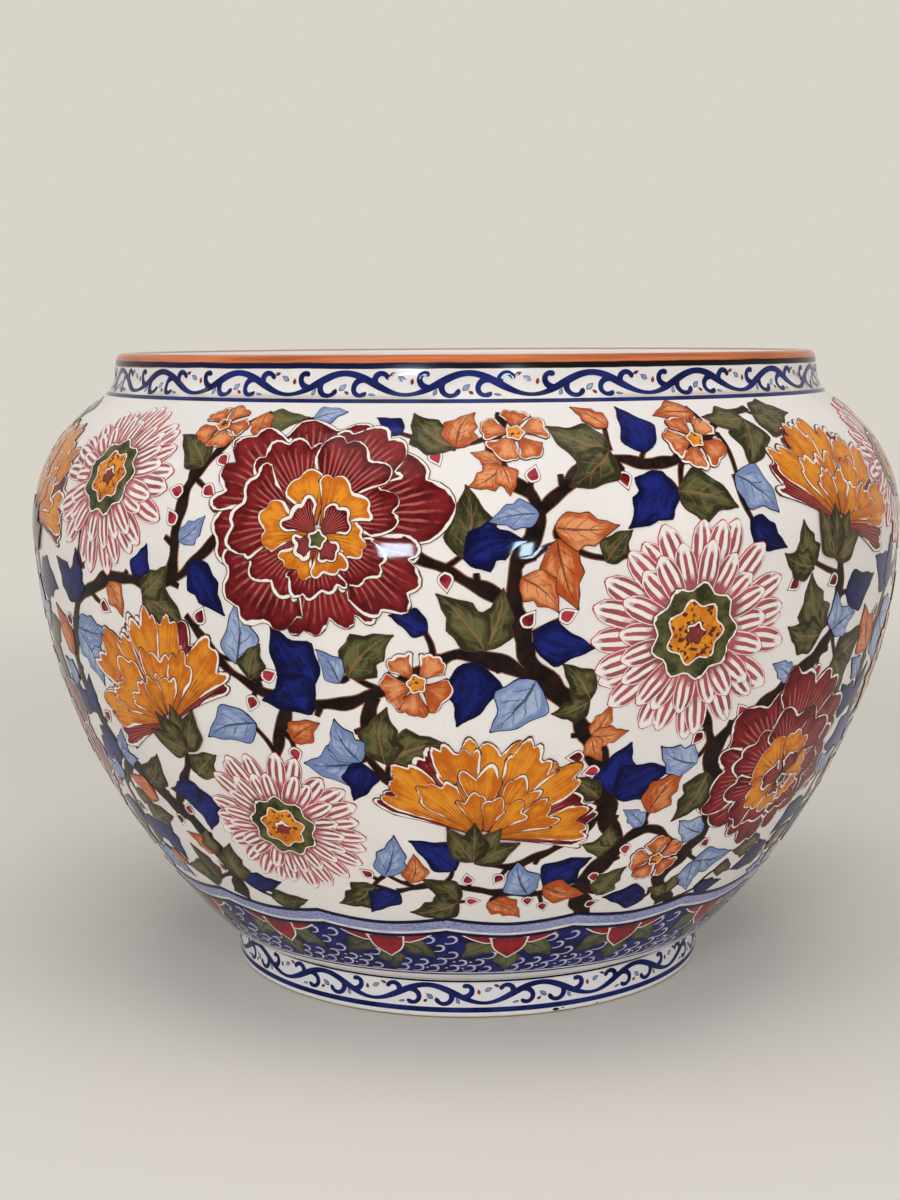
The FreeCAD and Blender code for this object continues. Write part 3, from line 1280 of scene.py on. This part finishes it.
# Each flower: its place, its turn in degrees and its size
flowers = {
    "roses": [(-62 + 18j, 8, 1.04), (166 - 106j, 40, 1.0)],
    "asters": [(94 - 30j, 0, 1.04), (-94 - 126j, 10, 0.92), (-178 + 32j, 5, 0.92)],
    "carnations": [(-150 - 62j, 24, 0.96), (10 - 112j, -16, 1.02), (184 + 22j, -20, 0.94)],
    "blossoms": [
        (20 + 58j, 0, 1.0), (-22 - 48j, 30, 0.95), (100 - 150j, 12, 1.0),
        (-120 + 62j, 50, 0.9), (104 + 52j, 20, 1.0),
    ],
}
trunks = [
    [66 - 190j, 60 - 166j, 72 - 140j, 64 - 112j, 52 - 74j, 30 - 46j, 16 - 14j, 26 + 20j, 10 + 46j, 16 + 72j],
    [-150 - 190j, -144 - 162j, -164 - 126j, -194 - 104j, -216 - 64j, -202 - 24j, -192 + 6j],
    [122 - 190j, 110 - 166j, 128 - 126j, 116 - 86j, 148 - 62j, 178 - 38j, 180 - 8j],
]
branches = [
    [30 - 46j, -6 - 36j, -40 - 54j, -78 - 58j, -106 - 44j, -124 - 24j],
    [-164 - 126j, -152 - 112j, -140 - 91j],
    [116 - 86j, 108 - 74j, 100 - 60j],
    [16 - 14j, -6 - 4j, -24 + 6j],
    [26 + 20j, 54 + 42j, 92 + 42j, 122 + 62j, 150 + 72j],
    [-202 - 24j, -168 - 12j, -130 - 10j, -104 + 12j],
    [-78 - 58j, -86 - 78j, -90 - 100j],
    [-130 - 10j, -126 + 24j, -112 + 54j],
    [64 - 112j, 48 - 130j, 24 - 146j, 2 - 143j],
    [60 - 166j, 24 - 168j, -14 - 160j, -40 - 166j],
    [-40 - 54j, -46 - 78j, -36 - 96j],
    [72 - 140j, 92 - 128j, 116 - 150j],
    [-194 - 104j, -214 - 124j, -216 - 150j],
]
print("a third is", round(third_mm), "mm wide, with", sum(map(len, flowers.values())), "flowers")

# %% Crooked wood
trunk_widths, branch_widths, spur_widths = (10.5, 5.0), (5.6, 3.2), (1.7, 0.9)


def smooth_path(corners, step=2.5):
    """A Catmull-Rom curve through the corners."""
    padded = [2 * corners[0] - corners[1], *corners, 2 * corners[-1] - corners[-2]]
    path = []
    for a, b, c, d in zip(padded, padded[1:], padded[2:], padded[3:]):
        t = np.linspace(0, 1, max(3, round(abs(c - b) / step)), endpoint=False)
        bend = (2 * a - 5 * b + 4 * c - d) * t ** 2 + (3 * b - a - 3 * c + d) * t ** 3
        path += list(0.5 * (2 * b + (c - a) * t + bend))
    return np.array(path + [corners[-1]])


def gnarled(corners, thick, thin, dice):
    """A branch's crooked path and its half widths, which taper and swell at knots."""
    path = smooth_path(corners)
    run = np.concatenate([[0], np.cumsum(np.abs(np.diff(path)))])
    sideways = 1j * np.gradient(path) / np.abs(np.gradient(path))
    crook = np.sin(run / 7 + dice.uniform(0, 6)) + 0.6 * np.sin(run / 3.1 + dice.uniform(0, 6))
    path = path + sideways * crook * 0.13 * thick * np.sin(np.pi * np.linspace(0, 1, len(path))) ** 0.3
    knots = 0.2 * np.sin(run / 5.5 + dice.uniform(0, 6)) + 0.14 * np.sin(run / 2.3 + dice.uniform(0, 6))
    return path, (thick + (thin - thick) * np.linspace(0, 1, len(path))) / 2 * (1 + knots)


dice = random.Random(11)
wood = [gnarled(corners, *trunk_widths, dice) for corners in trunks]
wood += [gnarled(corners, *branch_widths, dice) for corners in branches]
for path, half in list(wood):
    for number in range(6, len(path) - 6, 11):
        aside = cmath.exp(1j * dice.choice((-1, 1)) * dice.uniform(0.6, 1.1))
        way = (path[number + 1] - path[number]) * aside
        spur = way / abs(way) * (half[number] + dice.uniform(2.5, 5.0))
        wood.append((path[number] + spur * np.linspace(0, 1, 5), np.linspace(*spur_widths, 5)))
print("branches and spurs:", len(wood), "points:", sum(len(path) for path, _ in wood))

# %% [markdown]
# ### Leaves wherever there is room
#
# Leaves are thrown like darts: a leaf stays where its place is free and a branch is near, and it gets a
# twig to that branch. Twigs become branches for the next leaves, so the thicket grows into the gaps. The
# dice are seeded, and distances go round the third's edge, so the pattern has no seam. The flowers take
# their places first, as a few discs each.

# %% Room on the sheet
field_low = cusp_up / MM + 1
field_high = sheet_up(279 * MM) / MM
flower_room = {
    "roses": [(0j, 45)],
    "asters": [(0j, 43)],
    "carnations": [(8j, 29), (-30 - 4j, 18), (30 - 4j, 18), (-22j, 10)],
    "blossoms": [(0j, 14)],
}
taken_places, taken_room = [], []
wood_points = [p for path, _ in wood for p in path[::3]]


def short_way(step):
    """A step on the sheet, taken the short way round a third."""
    return (step.real + third_mm / 2) % third_mm - third_mm / 2 + 1j * step.imag


def apart(place, others):
    return np.abs(short_way(np.asarray(others) - place))


def take(place, room):
    taken_places.append(place)
    taken_room.append(room)


def is_free(place, room):
    return bool(np.all(apart(place, taken_places) > np.array(taken_room) + room))


def dart(dice):
    """A thrown place, and the step to it from the nearest wood."""
    place = complex(dice.uniform(-0.5, 0.5) * third_mm, dice.uniform(field_low, field_high))
    nearest = wood_points[int(np.argmin(apart(place, wood_points)))]
    return place, short_way(place - nearest)


for kind, discs in flower_room.items():
    for place, turn, size in flowers[kind]:
        for offset, room in discs:
            take(place + turned_by(offset, turn) * size, room * size)
print("places taken by flowers:", len(taken_places))

# %% Where a leaf fits
leaf_odds = {"cobalt": 0.32, "pale_blue": 0.2, "olive": 0.3, "rust": 0.18}
again_odds = 0.08
leaf_length = 28.0
leaf_room = 0.215


def discs_of(stalk, way, length):
    """Three places along a leaf that have to be free."""
    return [stalk + way * share * length for share in (0.26, 0.5, 0.72)]


def fits(discs, tip, length):
    inside = all(field_low < p.imag < field_high for p in (*discs, tip))
    return inside and all(is_free(disc, leaf_room * length) for disc in discs)


def distance_to(leaf, place):
    return apart(place, [leaf["place"]])[0]


def any_colour(dice, near=()):
    """A leaf's colour by the odds, which fall for a colour that is near already."""
    odds = [odd * again_odds ** near.count(colour) for colour, odd in leaf_odds.items()]
    return dice.choices(list(leaf_odds), odds)[0]


print("leaf colours:", list(leaf_odds))

# %% One leaf and its sisters
twig_reach = 34.0
sister_odds = 0.75
same_colour_odds = 0.6
leaves, twigs = [], []


def keep_leaf(stalk, way, length, colour):
    """Keeps a leaf one level above the leaves that it may touch."""
    place = stalk + way * length / 2
    near = {
        leaf["level"] for leaf in leaves if distance_to(leaf, place) < 0.55 * (length + leaf["length"])
    }
    level = min(set(range(9)) - near)
    leaves.append(dict(place=place, stalk=stalk, way=way, length=length, colour=colour, level=level))


def throw_leaf(dice, length):
    """Tries one leaf, and if it finds room, keeps it with its twig and up to two sisters."""
    place, step = dart(dice)
    if not 0.42 * length < abs(step) < twig_reach:
        return
    way = step / abs(step) * cmath.exp(1j * dice.uniform(-1.0, 1.0))
    stalk = place - way * length / 2
    discs = discs_of(stalk, way, length)
    if not fits([stalk, *discs], place + way * length / 2, length):
        return
    colour = any_colour(dice, [l["colour"] for l in leaves if distance_to(l, place) < 1.2 * leaf_length])
    keep_leaf(stalk, way, length, colour)
    for side in (-1, 1):
        sister_length = length * dice.uniform(0.8, 1.0)
        sister_way = way * cmath.exp(1j * side * dice.uniform(1.0, 1.35))
        sister_discs = discs_of(stalk, sister_way, sister_length)
        sister_tip = stalk + sister_way * sister_length
        if dice.random() < sister_odds and fits(sister_discs, sister_tip, sister_length):
            other = any_colour(dice)
            sister_colour = colour if dice.random() < same_colour_odds else other
            keep_leaf(stalk, sister_way, sister_length, sister_colour)
            discs = discs + sister_discs
    for disc in discs:
        take(disc, leaf_room * length)
    root = place - step
    elbow = (root + stalk) / 2 + 1j * way * dice.uniform(-0.15, 0.15) * abs(stalk - root)
    twigs.append(smooth_path([root, elbow, stalk + way * 2.0], 2.0))
    wood_points.extend([elbow, stalk])


print("wood for the first leaves:", len(wood_points), "points")

# %% Throw the leaves
throws = {30: 1500, 27: 2600, 24: 3000, 21: 3000, 17: 2500}
leaf_top = sheet_up(279.8 * MM) / MM

dice = random.Random(23)
for length, tries in throws.items():
    for _ in range(tries):
        throw_leaf(dice, length)
lowered = 0
for leaf in leaves:
    along = leaf["way"] * leaf["length"]
    high = max((leaf["stalk"] + along * share).imag for share in (0.35, 0.65)) + 0.36 * abs(along.real)
    if high > leaf_top:
        leaf["stalk"] -= 1j * (high - leaf_top)
        lowered += 1
print("leaves in a third:", len(leaves), "lowered off the collar line:", lowered)

# %% Buds in the small gaps
bud_length = 9.0
bud_room = 4.6
bud_tries = 2500
buds = []
dice = random.Random(31)
for _ in range(bud_tries):
    place, step = dart(dice)
    inside = field_low + 6 < place.imag < field_high - 6
    if inside and 5 < abs(step) < 18 and is_free(place, bud_room):
        way = step / abs(step)
        buds.append((place - way * bud_length / 2, way))
        twigs.append(smooth_path([place - step, place - way * bud_length / 3], 2.0))
        take(place, bud_room)
print("buds in a third:", len(buds), "twigs:", len(twigs))

# %% [markdown]
# ### Painting the wood
#
# Branches are nearly black, with a thin lighter edge where the wash ends. Two layers do it: wide brown
# ribbons below, narrower dark ones above, so that the edges of branches that cross run together.

# %% Branches and twigs
edge_width = 0.5
twig_widths = (1.15, 0.75)


def lay_wood(name, layer, paint, wider):
    grids = [ribbon(path, half + wider) * MM for path, half in wood]
    grids += [ribbon(path, np.linspace(*twig_widths, len(path)) + wider, columns=2) * MM for path in twigs]
    steps = [0.004 * MM * (number % 5) for number in range(len(wood))]
    spots = [Spot(complex(k * third_width, 0), lift=lifts[layer]) for k in range(thirds)]
    spray(name, [tiles_of(name, grids, steps)], spots, paint)


lay_wood("branch_edges", "bark_edges", glazed("bark_edge", washed(bark_edge, bark_pale, 120.0)), edge_width)
lay_wood("branches", "bark", glazed("bark_dark", washed(bark, bark_light, 140.0)), 0.0)
print("wood tiles:", len(wood) + len(twigs))

# %% Leaves in four colours
olive_paint = glazed("leaf_olive", veined(olive, olive_light, brown_ink, bark_pale, 0.5))
leaf_paints = {
    "cobalt": glazed("leaf_cobalt", veined(cobalt, cobalt_pool, navy_ink, navy_ink, 0.5)),
    "pale_blue": glazed("leaf_pale_blue", veined(pale_blue, pale_blue_light, navy_ink, navy_ink)),
    "olive": olive_paint,
    "rust": glazed("leaf_rust", veined(rust, rust_light, brown_ink, brown_ink)),
}
# Each drawing of a leaf: its width as a share of its length, its bend, its lobes and how deep they are
leaf_shapes = [(0.6, 0.3, 2, 0.16), (0.66, -0.35, 3, 0.15), (0.54, 0.2, 3, 0.13), (0.7, -0.2, 2, 0.2)]
level_step = 0.08 * MM


def upright(way):
    """The turn that points a motif, drawn upright, along a way."""
    return cmath.phase(way) - math.pi / 2


dice = random.Random(41)
for colour, paint in leaf_paints.items():
    spots = []
    for leaf in (l for l in leaves if l["colour"] == colour):
        for k in range(thirds):
            stalk = leaf["stalk"] * MM + k * third_width
            turn = upright(leaf["way"]) + dice.uniform(-0.12, 0.12)
            lift = lifts["leaves"] + level_step * leaf["level"]
            size = leaf["length"] / leaf_length
            spots.append(Spot(stalk, turn, size, lift, dice.randrange(len(leaf_shapes)), dice.random()))
    meshes = [
        tiles_of("leaf", [leaf_grid(leaf_length * MM, width * leaf_length * MM, bend, lobes, cut)])
        for width, bend, lobes, cut in leaf_shapes
    ]
    spray("leaves_" + colour, meshes, spots, paint)
print("leaves on the pot:", thirds * len(leaves), "levels:", 1 + max(l["level"] for l in leaves))

# %% Buds
red_with_margin = margined(washed(crimson, rose_red, 120.0), warm_white, 0.85, 1.1)
crimson_bud = outlined(red_with_margin, brown_ink, 0.32 * MM)
bud_mesh = tiles_of("bud", [leaf_grid(bud_length * MM, 6.6 * MM, 0.0, 1, 0.0, rows=10)])
bud_spots = [
    Spot(base * MM + k * third_width, upright(way), lift=lifts["buds"])
    for base, way in buds for k in range(thirds)
]
spray("buds_crimson", [bud_mesh], bud_spots, glazed("bud_crimson", crimson_bud))
print("buds on the pot:", len(bud_spots))

# %% [markdown]
# ### Flowers
#
# Three garden flowers carry the design: an aster with many narrow petals, a double rose, and a carnation
# seen from the side. Each is a set of tiles, ring over ring, with one paint for each kind of petal. Two
# flowers of a kind are never quite the same, so each kind is drawn three times with other dice.

# %% Petal paints
def streaked(mix):
    """White, with red strokes that run out towards the tip and close up at the base."""
    stroke = marks(mix)
    strokes = comb(mix, stroke.across, 8.5, -0.25, 0.2)
    ragged = stroke.along + mix.noise(220.0) * 0.35
    runs_out = strokes * mix.fall(ragged, 1.06, 0.06)
    red = mix.math("MAXIMUM", runs_out, mix.fall(ragged, 0.62, 0.1))
    return mix.blend(red * 0.92, warm_white, washed(rose_red, crimson_light)(mix))


def petal(dark, light, hatch, hatch_top, teeth, margin, strength=0.8):
    """A broad petal: brushed, hatched at its base, with a white margin inside a fine outline."""
    def colour(mix):
        stroke = marks(mix)
        length = stroke.along + mix.noise(200.0) * 0.45
        lines = comb(mix, stroke.across, teeth, 0.35, 0.75) * mix.fall(length, hatch_top, 0.12)
        inside = mix.blend(lines * strength, brushed(dark, light, 4.0)(mix), hatch)
        wobble = (mix.noise(80.0) - 0.5) * (4.4 * MM)
        base = mix.fall(stroke.along, 0.45, 0.2) * (3 * MM)
        rim = stroke.edge - wobble + base
        return mix.blend(mix.rise(rim, margin * MM, margin * MM + 0.25 * MM), petal_white, inside)
    return outlined(colour, brown_ink, 0.42 * MM)


def seeded(mix):
    """Gold with dark seeds."""
    seeds = mix.rise(mix.noise(520.0, 1.0), 0.56, 0.62)
    return mix.blend(seeds, washed(ochre, ochre_deep, 150.0)(mix), brown_ink)


aster_petal = outlined(margined(streaked, warm_white, 0.4, 0.65), rose_red, 0.28 * MM)
heart_gold = outlined(margined(seeded, petal_white, 0.7, 0.9), brown_ink, 0.3 * MM)
green_with_margin = margined(washed(olive, olive_light, 120.0), petal_white, 0.8, 1.0)
eye_green = outlined(green_with_margin, brown_ink, 0.3 * MM)
aster_paint = glazed("aster_petals", aster_petal)
rose_paint = glazed("rose_petals", petal(crimson, crimson_light, hatch_rose, 1.0, 40.0, 1.0))
gold_paint = glazed("gold_petals", petal(ochre_deep, ochre, brown_ink, 0.8, 26.0, 0.8, 0.6))
blossom_paint = glazed("blossom_petals", petal(rust, rust_light, brown_ink, 0.6, 16.0, 0.6))
heart_paint = glazed("heart_gold", heart_gold)
eye_paint = glazed("collar_green", eye_green)
print("petal paints:", aster_paint.name, rose_paint.name, gold_paint.name, blossom_paint.name)

# %% Petals and rings of petals
def narrow_petal(inner, length, width):
    """A narrow petal that starts at a distance from the flower's centre and points up."""
    across, along = shares(8, 4)
    body = 0.42 + 0.58 * np.sin(np.pi / 2 * np.clip(along / 0.62, 0, 1))
    tip = np.sqrt(np.clip(1 - (np.clip(along - 0.62, 0, 1) / 0.385) ** 2, 0, 1))
    return 1j * (inner + length * along) + np.maximum(width / 2 * body * tip, 0.04 * width) * across


def broad_petal(dice, inner, outer, spread, ruffle):
    """A scalloped petal that fans out from the flower's centre, pointing up; spread is half its angle."""
    across, along = shares(10, 24)
    lobes, shift = dice.choice((2, 3, 3, 4)), dice.uniform(-0.3, 0.3)
    scallop = np.sqrt(np.abs(np.cos(np.pi / 2 * lobes * (across + shift))))
    wave = np.cos(np.pi * 1.3 * across + dice.uniform(0, 6.3))
    rim = 1 - 0.16 * across ** 4 + ruffle * (2.4 * scallop - 1.7 + wave)
    out = inner + (outer * rim - inner) * along
    fan = np.radians(spread) * dice.uniform(0.85, 1.15) * (0.55 + 0.45 * along ** 0.8)
    return out * np.exp(1j * (np.pi / 2 - across * fan))


def lobed_disc(radius, lobes, depth, cells=12):
    """A disc with a lobed rim, as a square grid bent round."""
    u, v = np.meshgrid(np.linspace(-1, 1, cells + 1), np.linspace(-1, 1, cells + 1))
    place = u * np.sqrt(1 - v ** 2 / 2) + 1j * v * np.sqrt(1 - u ** 2 / 2)
    return radius * place * (1 + depth * np.cos(lobes * np.angle(place)) * np.abs(place) ** 2)


def ring_of(dice, count, petal_of, start=0.0, lean=0.0):
    """Petals round a centre, each a little out of step; lean makes the upper ones longer."""
    ways = [start + 360 * k / count + dice.uniform(-6, 6) for k in range(count)]
    return [turned_by(petal_of() * (1 + lean * math.cos(math.radians(way))), way) for way in ways]


narrow, broad = narrow_petal(16, 30, 11), broad_petal(random.Random(1), 8, 47, 31, 0.06)
print("points in a narrow petal:", narrow.size, "in a broad one:", broad.size)

# %% [markdown]
# A flower is drawn as a table: for each paint the rings of tiles, each with its lift in mm, from the
# outer petals to the heart.

# %% Drawings of the four flowers
def aster(dice):
    outer = ring_of(dice, 24, lambda: narrow_petal(16, dice.uniform(27, 32), 11))
    inner = ring_of(dice, 19, lambda: narrow_petal(10, dice.uniform(23, 27), 10), 8)
    return {
        aster_paint: [(0.0, outer), (0.16, inner)],
        eye_paint: [(0.34, [lobed_disc(19, 9, 0.09)])],
        heart_paint: [(0.42, [lobed_disc(12.5, 7, 0.12)])],
        rose_paint: [(0.5, [lobed_disc(4.5, 5, 0.15)])],
    }


def rose(dice):
    def crown(count, inner, outer, spread, start, lean, shift):
        def one():
            return broad_petal(dice, inner, outer * dice.uniform(0.9, 1.08), spread, 0.06)
        return [grid - 1j * shift for grid in ring_of(dice, count, one, start, lean)]
    return {
        rose_paint: [
            (0.0, crown(8, 8, 47, 31, 0, 0.06, 0)),
            (0.18, crown(7, 6, 34, 34, 20, 0.14, 3)),
            (0.5, crown(4, 1.5, 13, 42, 30, 0.2, 7)),
        ],
        gold_paint: [(0.34, crown(6, 3, 22, 36, 12, 0.2, 6))],
        eye_paint: [(0.66, [lobed_disc(3.8, 5, 0.15) - 8j])],
    }


def carnation(dice):
    def fan(leans, outer, spread):
        petals = []
        for lean in leans:
            grid = broad_petal(dice, 5, outer * dice.uniform(0.94, 1.06), spread, 0.06)
            petals.append(turned_by(grid, lean + dice.uniform(-4, 4), -16j))
        return petals
    sepals = [turned_by(leaf_grid(25, 14, 0, 2, 0.1), lean, -31j) for lean in (-46, 46, -15, 15)]
    return {
        rose_paint: [(0.0, fan((-72, -44, 0, 44, 72), 49, 17))],
        gold_paint: [
            (0.14, fan((-64, 64, -32, 32, 12, -12), 52, 16)),
            (0.3, fan((-50, 50, -18, 20), 37, 18)),
            (0.46, fan((-28, 30, 0), 25, 21)),
        ],
        olive_paint: [(0.6, sepals)],
    }


def blossom(dice):
    petals = ring_of(dice, 5, lambda: broad_petal(dice, 2, 15.5, 37, 0.04))
    return {blossom_paint: [(0.0, petals)], heart_paint: [(0.18, [lobed_disc(4.4, 5, 0.12)])]}


print("paints in an aster:", len(aster(random.Random(1))))

# %% Plant the flowers
ring_step = 0.055
seeds = (1, 2, 3)


def flower_mesh(name, rings, dice):
    """A mesh of rings (lift in mm, grids), with neighbours in a ring at different heights."""
    tiles = Tiles()
    for lift, grids in rings:
        for number, grid in enumerate(grids):
            last_of_odd = len(grids) % 2 and number == len(grids) - 1
            step = 2 if last_of_odd else number % 2
            tiles.lay(grid * MM, (lift + ring_step * step) * MM, dice.random())
    return tiles.mesh(name)


def plant(name, drawn):
    """Lays one kind of flower on its places in every third, paint by paint."""
    drawings = [drawn(random.Random(seed)) for seed in seeds]
    spots = []
    for number, (place, turn, size) in enumerate(flowers[name]):
        for k in range(thirds):
            there = place * MM + k * third_width
            variant = (number + k) % len(seeds)
            spots.append(Spot(there, math.radians(turn), size, lifts["flowers"], variant, 0.3 * k))
    for number, paint in enumerate(drawings[0]):
        meshes = [flower_mesh(name, drawing[paint], random.Random(9)) for drawing in drawings]
        spray(f"{name}_{number}", meshes, spots, paint)


plant("asters", aster)
plant("roses", rose)
plant("carnations", carnation)
plant("blossoms", blossom)
print("flowers on the pot:", thirds * sum(map(len, flowers.values())))

# %% [markdown]
# ## Light, floor and camera
#
# Glossy ware is lit by what it mirrors. Two small windows are only mirrored in the glaze, where they draw
# the belly's curve, and larger soft lights, higher up, only shine on it. A wall behind the pot would hide
# it from the back, so the backdrop is the world itself, pale to the camera and to reflections, and the
# floor fades into it all round.

# %% Floor
backdrop_colour = srgb(216, 212, 202)
floor_colour = srgb(228, 225, 218)
floor_reach = 8.0
fade_start, fade_end = 0.45, 1.4


def seen_directly(wiring):
    """1 for rays of the camera and of mirrors and glass, 0 for light that only falls on things."""
    ray = wiring.outputs(wiring.add("ShaderNodeLightPath").socket.node)
    bounced = wiring.math("MAXIMUM", ray["Is Glossy Ray"], ray["Is Transmission Ray"])
    return wiring.math("MAXIMUM", ray["Is Camera Ray"], bounced)


def fading_plaster():
    """Matt plaster near the pot, which keeps its shadow, and the plain backdrop colour farther out."""
    material, shader, mix = new_material("pale_plaster")
    mix.plug(floor_colour, shader.inputs["Base Color"])
    mix.plug(0.75, shader.inputs["Roughness"])
    fade = mix.rise(mix.length(mix.place), fade_start, fade_end) * seen_directly(mix)
    glow = mix.add("ShaderNodeEmission", backdrop_colour, 1.0)
    mixed = mix.add("ShaderNodeMixShader", fade, mix.outputs(shader)["BSDF"], glow)
    mix.plug(mixed, material.node_tree.nodes["Material Output"].inputs["Surface"])
    return material


corners = [(-1, -1), (1, -1), (1, 1), (-1, 1)]
floor_mesh = bpy.data.meshes.new("studio_floor")
floor_mesh.from_pydata([(floor_reach * x, floor_reach * y, 0) for x, y in corners], [], [(0, 1, 2, 3)])
floor_mesh.materials.append(fading_plaster())
floor = placed(bpy.data.objects.new("studio_floor", floor_mesh))
print("floor faces:", len(floor_mesh.polygons))

# %% Lights
from mathutils import Matrix, Vector

middle = Vector((0.0, 0.0, 0.2))
daylight = (0.64, 0.85, 1.0)
lamplight = (1.0, 0.99, 0.98)


def lamp(name, place, width, height, power, colour=lamplight, shines=True, shows=True):
    """A soft rectangular light that faces the pot. It can shine on it, show in its glaze, or both."""
    data = bpy.data.lights.new(name, "AREA")
    data.shape = "RECTANGLE"
    data.size = width
    data.size_y = height
    data.energy = power
    data.color = colour
    holder = placed(bpy.data.objects.new(name, data))
    holder.location = place
    holder.rotation_euler = (middle - Vector(place)).to_track_quat("-Z", "Y").to_euler()
    holder.visible_diffuse = shines
    holder.visible_glossy = shows


lamp("window_left", (-0.54, -1.9, 0.33), 0.28, 0.28, 27, daylight, shines=False)
lamp("window_right", (0.45, -1.9, 0.33), 0.15, 0.26, 14, daylight, shines=False)
lamp("front_left", (-0.54, -1.85, 0.8), 0.5, 0.5, 6.5, shows=False)
lamp("front_right", (0.45, -1.85, 0.8), 0.5, 0.5, 4.7, shows=False)
lamp("side", (-2.0, 0.2, 1.2), 0.3, 1.0, 2.5)
lamp("overhead", (0.0, -0.7, 2.3), 2.0, 1.6, 18)
print("lights:", [o.name for o in bpy.data.objects if o.type == "LIGHT"])

# %% Backdrop
fill_colour = srgb(240, 238, 236)
fill_level = 0.33
more_right, more_front, more_above = 0.12, 0.15, 0.25

world = bpy.data.worlds.new("studio")
bpy.context.scene.world = world
world.use_nodes = True
air = Wiring(world.node_tree)
right, back, above = air.parts(air.add("ShaderNodeTexCoord", output=0))
level = fill_level
for share, most in ((right, more_right), (back * -1.0, more_front), (above, more_above)):
    level = level + air.math("MAXIMUM", share, 0.0) * most
seen = seen_directly(air)
surround = world.node_tree.nodes["Background"]
air.plug(air.blend(seen, fill_colour, backdrop_colour), surround.inputs["Color"])
air.plug(air.add("ShaderNodeMix", named={0: seen, 2: level, 3: 1.0}), surround.inputs["Strength"])
print("nodes of the backdrop:", len(world.node_tree.nodes))

# %% [markdown]
# The camera stands where the photographer stood, a little under a metre away and slightly above the
# lip, tipped down by eight degrees.

# %% Camera
image_width, image_height = 900, 1200
focal_pixels = 1870
sensor = 36.0
camera_place = Vector((-8.1, -930.8, 308.4)) * MM
camera_pitch = 8.11
camera_roll = -0.33

camera_data = bpy.data.cameras.new("camera")
camera_data.sensor_width = sensor
camera_data.lens = focal_pixels / max(image_width, image_height) * sensor
camera = placed(bpy.data.objects.new("camera", camera_data))
tipped = Matrix.Rotation(math.radians(90 - camera_pitch), 4, "X")
rolled = Matrix.Rotation(math.radians(camera_roll), 4, "Z")
camera.matrix_world = Matrix.Translation(camera_place) @ tipped @ rolled
bpy.context.scene.camera = camera
bpy.context.scene.view_settings.view_transform = "Standard"
print(f"lens {camera_data.lens:.1f} mm")

# %% [markdown]
# ## Into the frame
#
# Each turned piece stands for its CAD section, and every painted piece rides with the pot.

# %% Attach the pieces to the pot
import json

bpy.data.objects.remove(ruler)
for name, piece in body_pieces.items():
    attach(piece, "root")
    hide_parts(name)
    "lip_glaze" if name == "rim_lip" else "tin_glaze"
for piece in painted_pieces:
    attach(piece, "root")

print("pieces:", len(body_pieces) + len(painted_pieces))
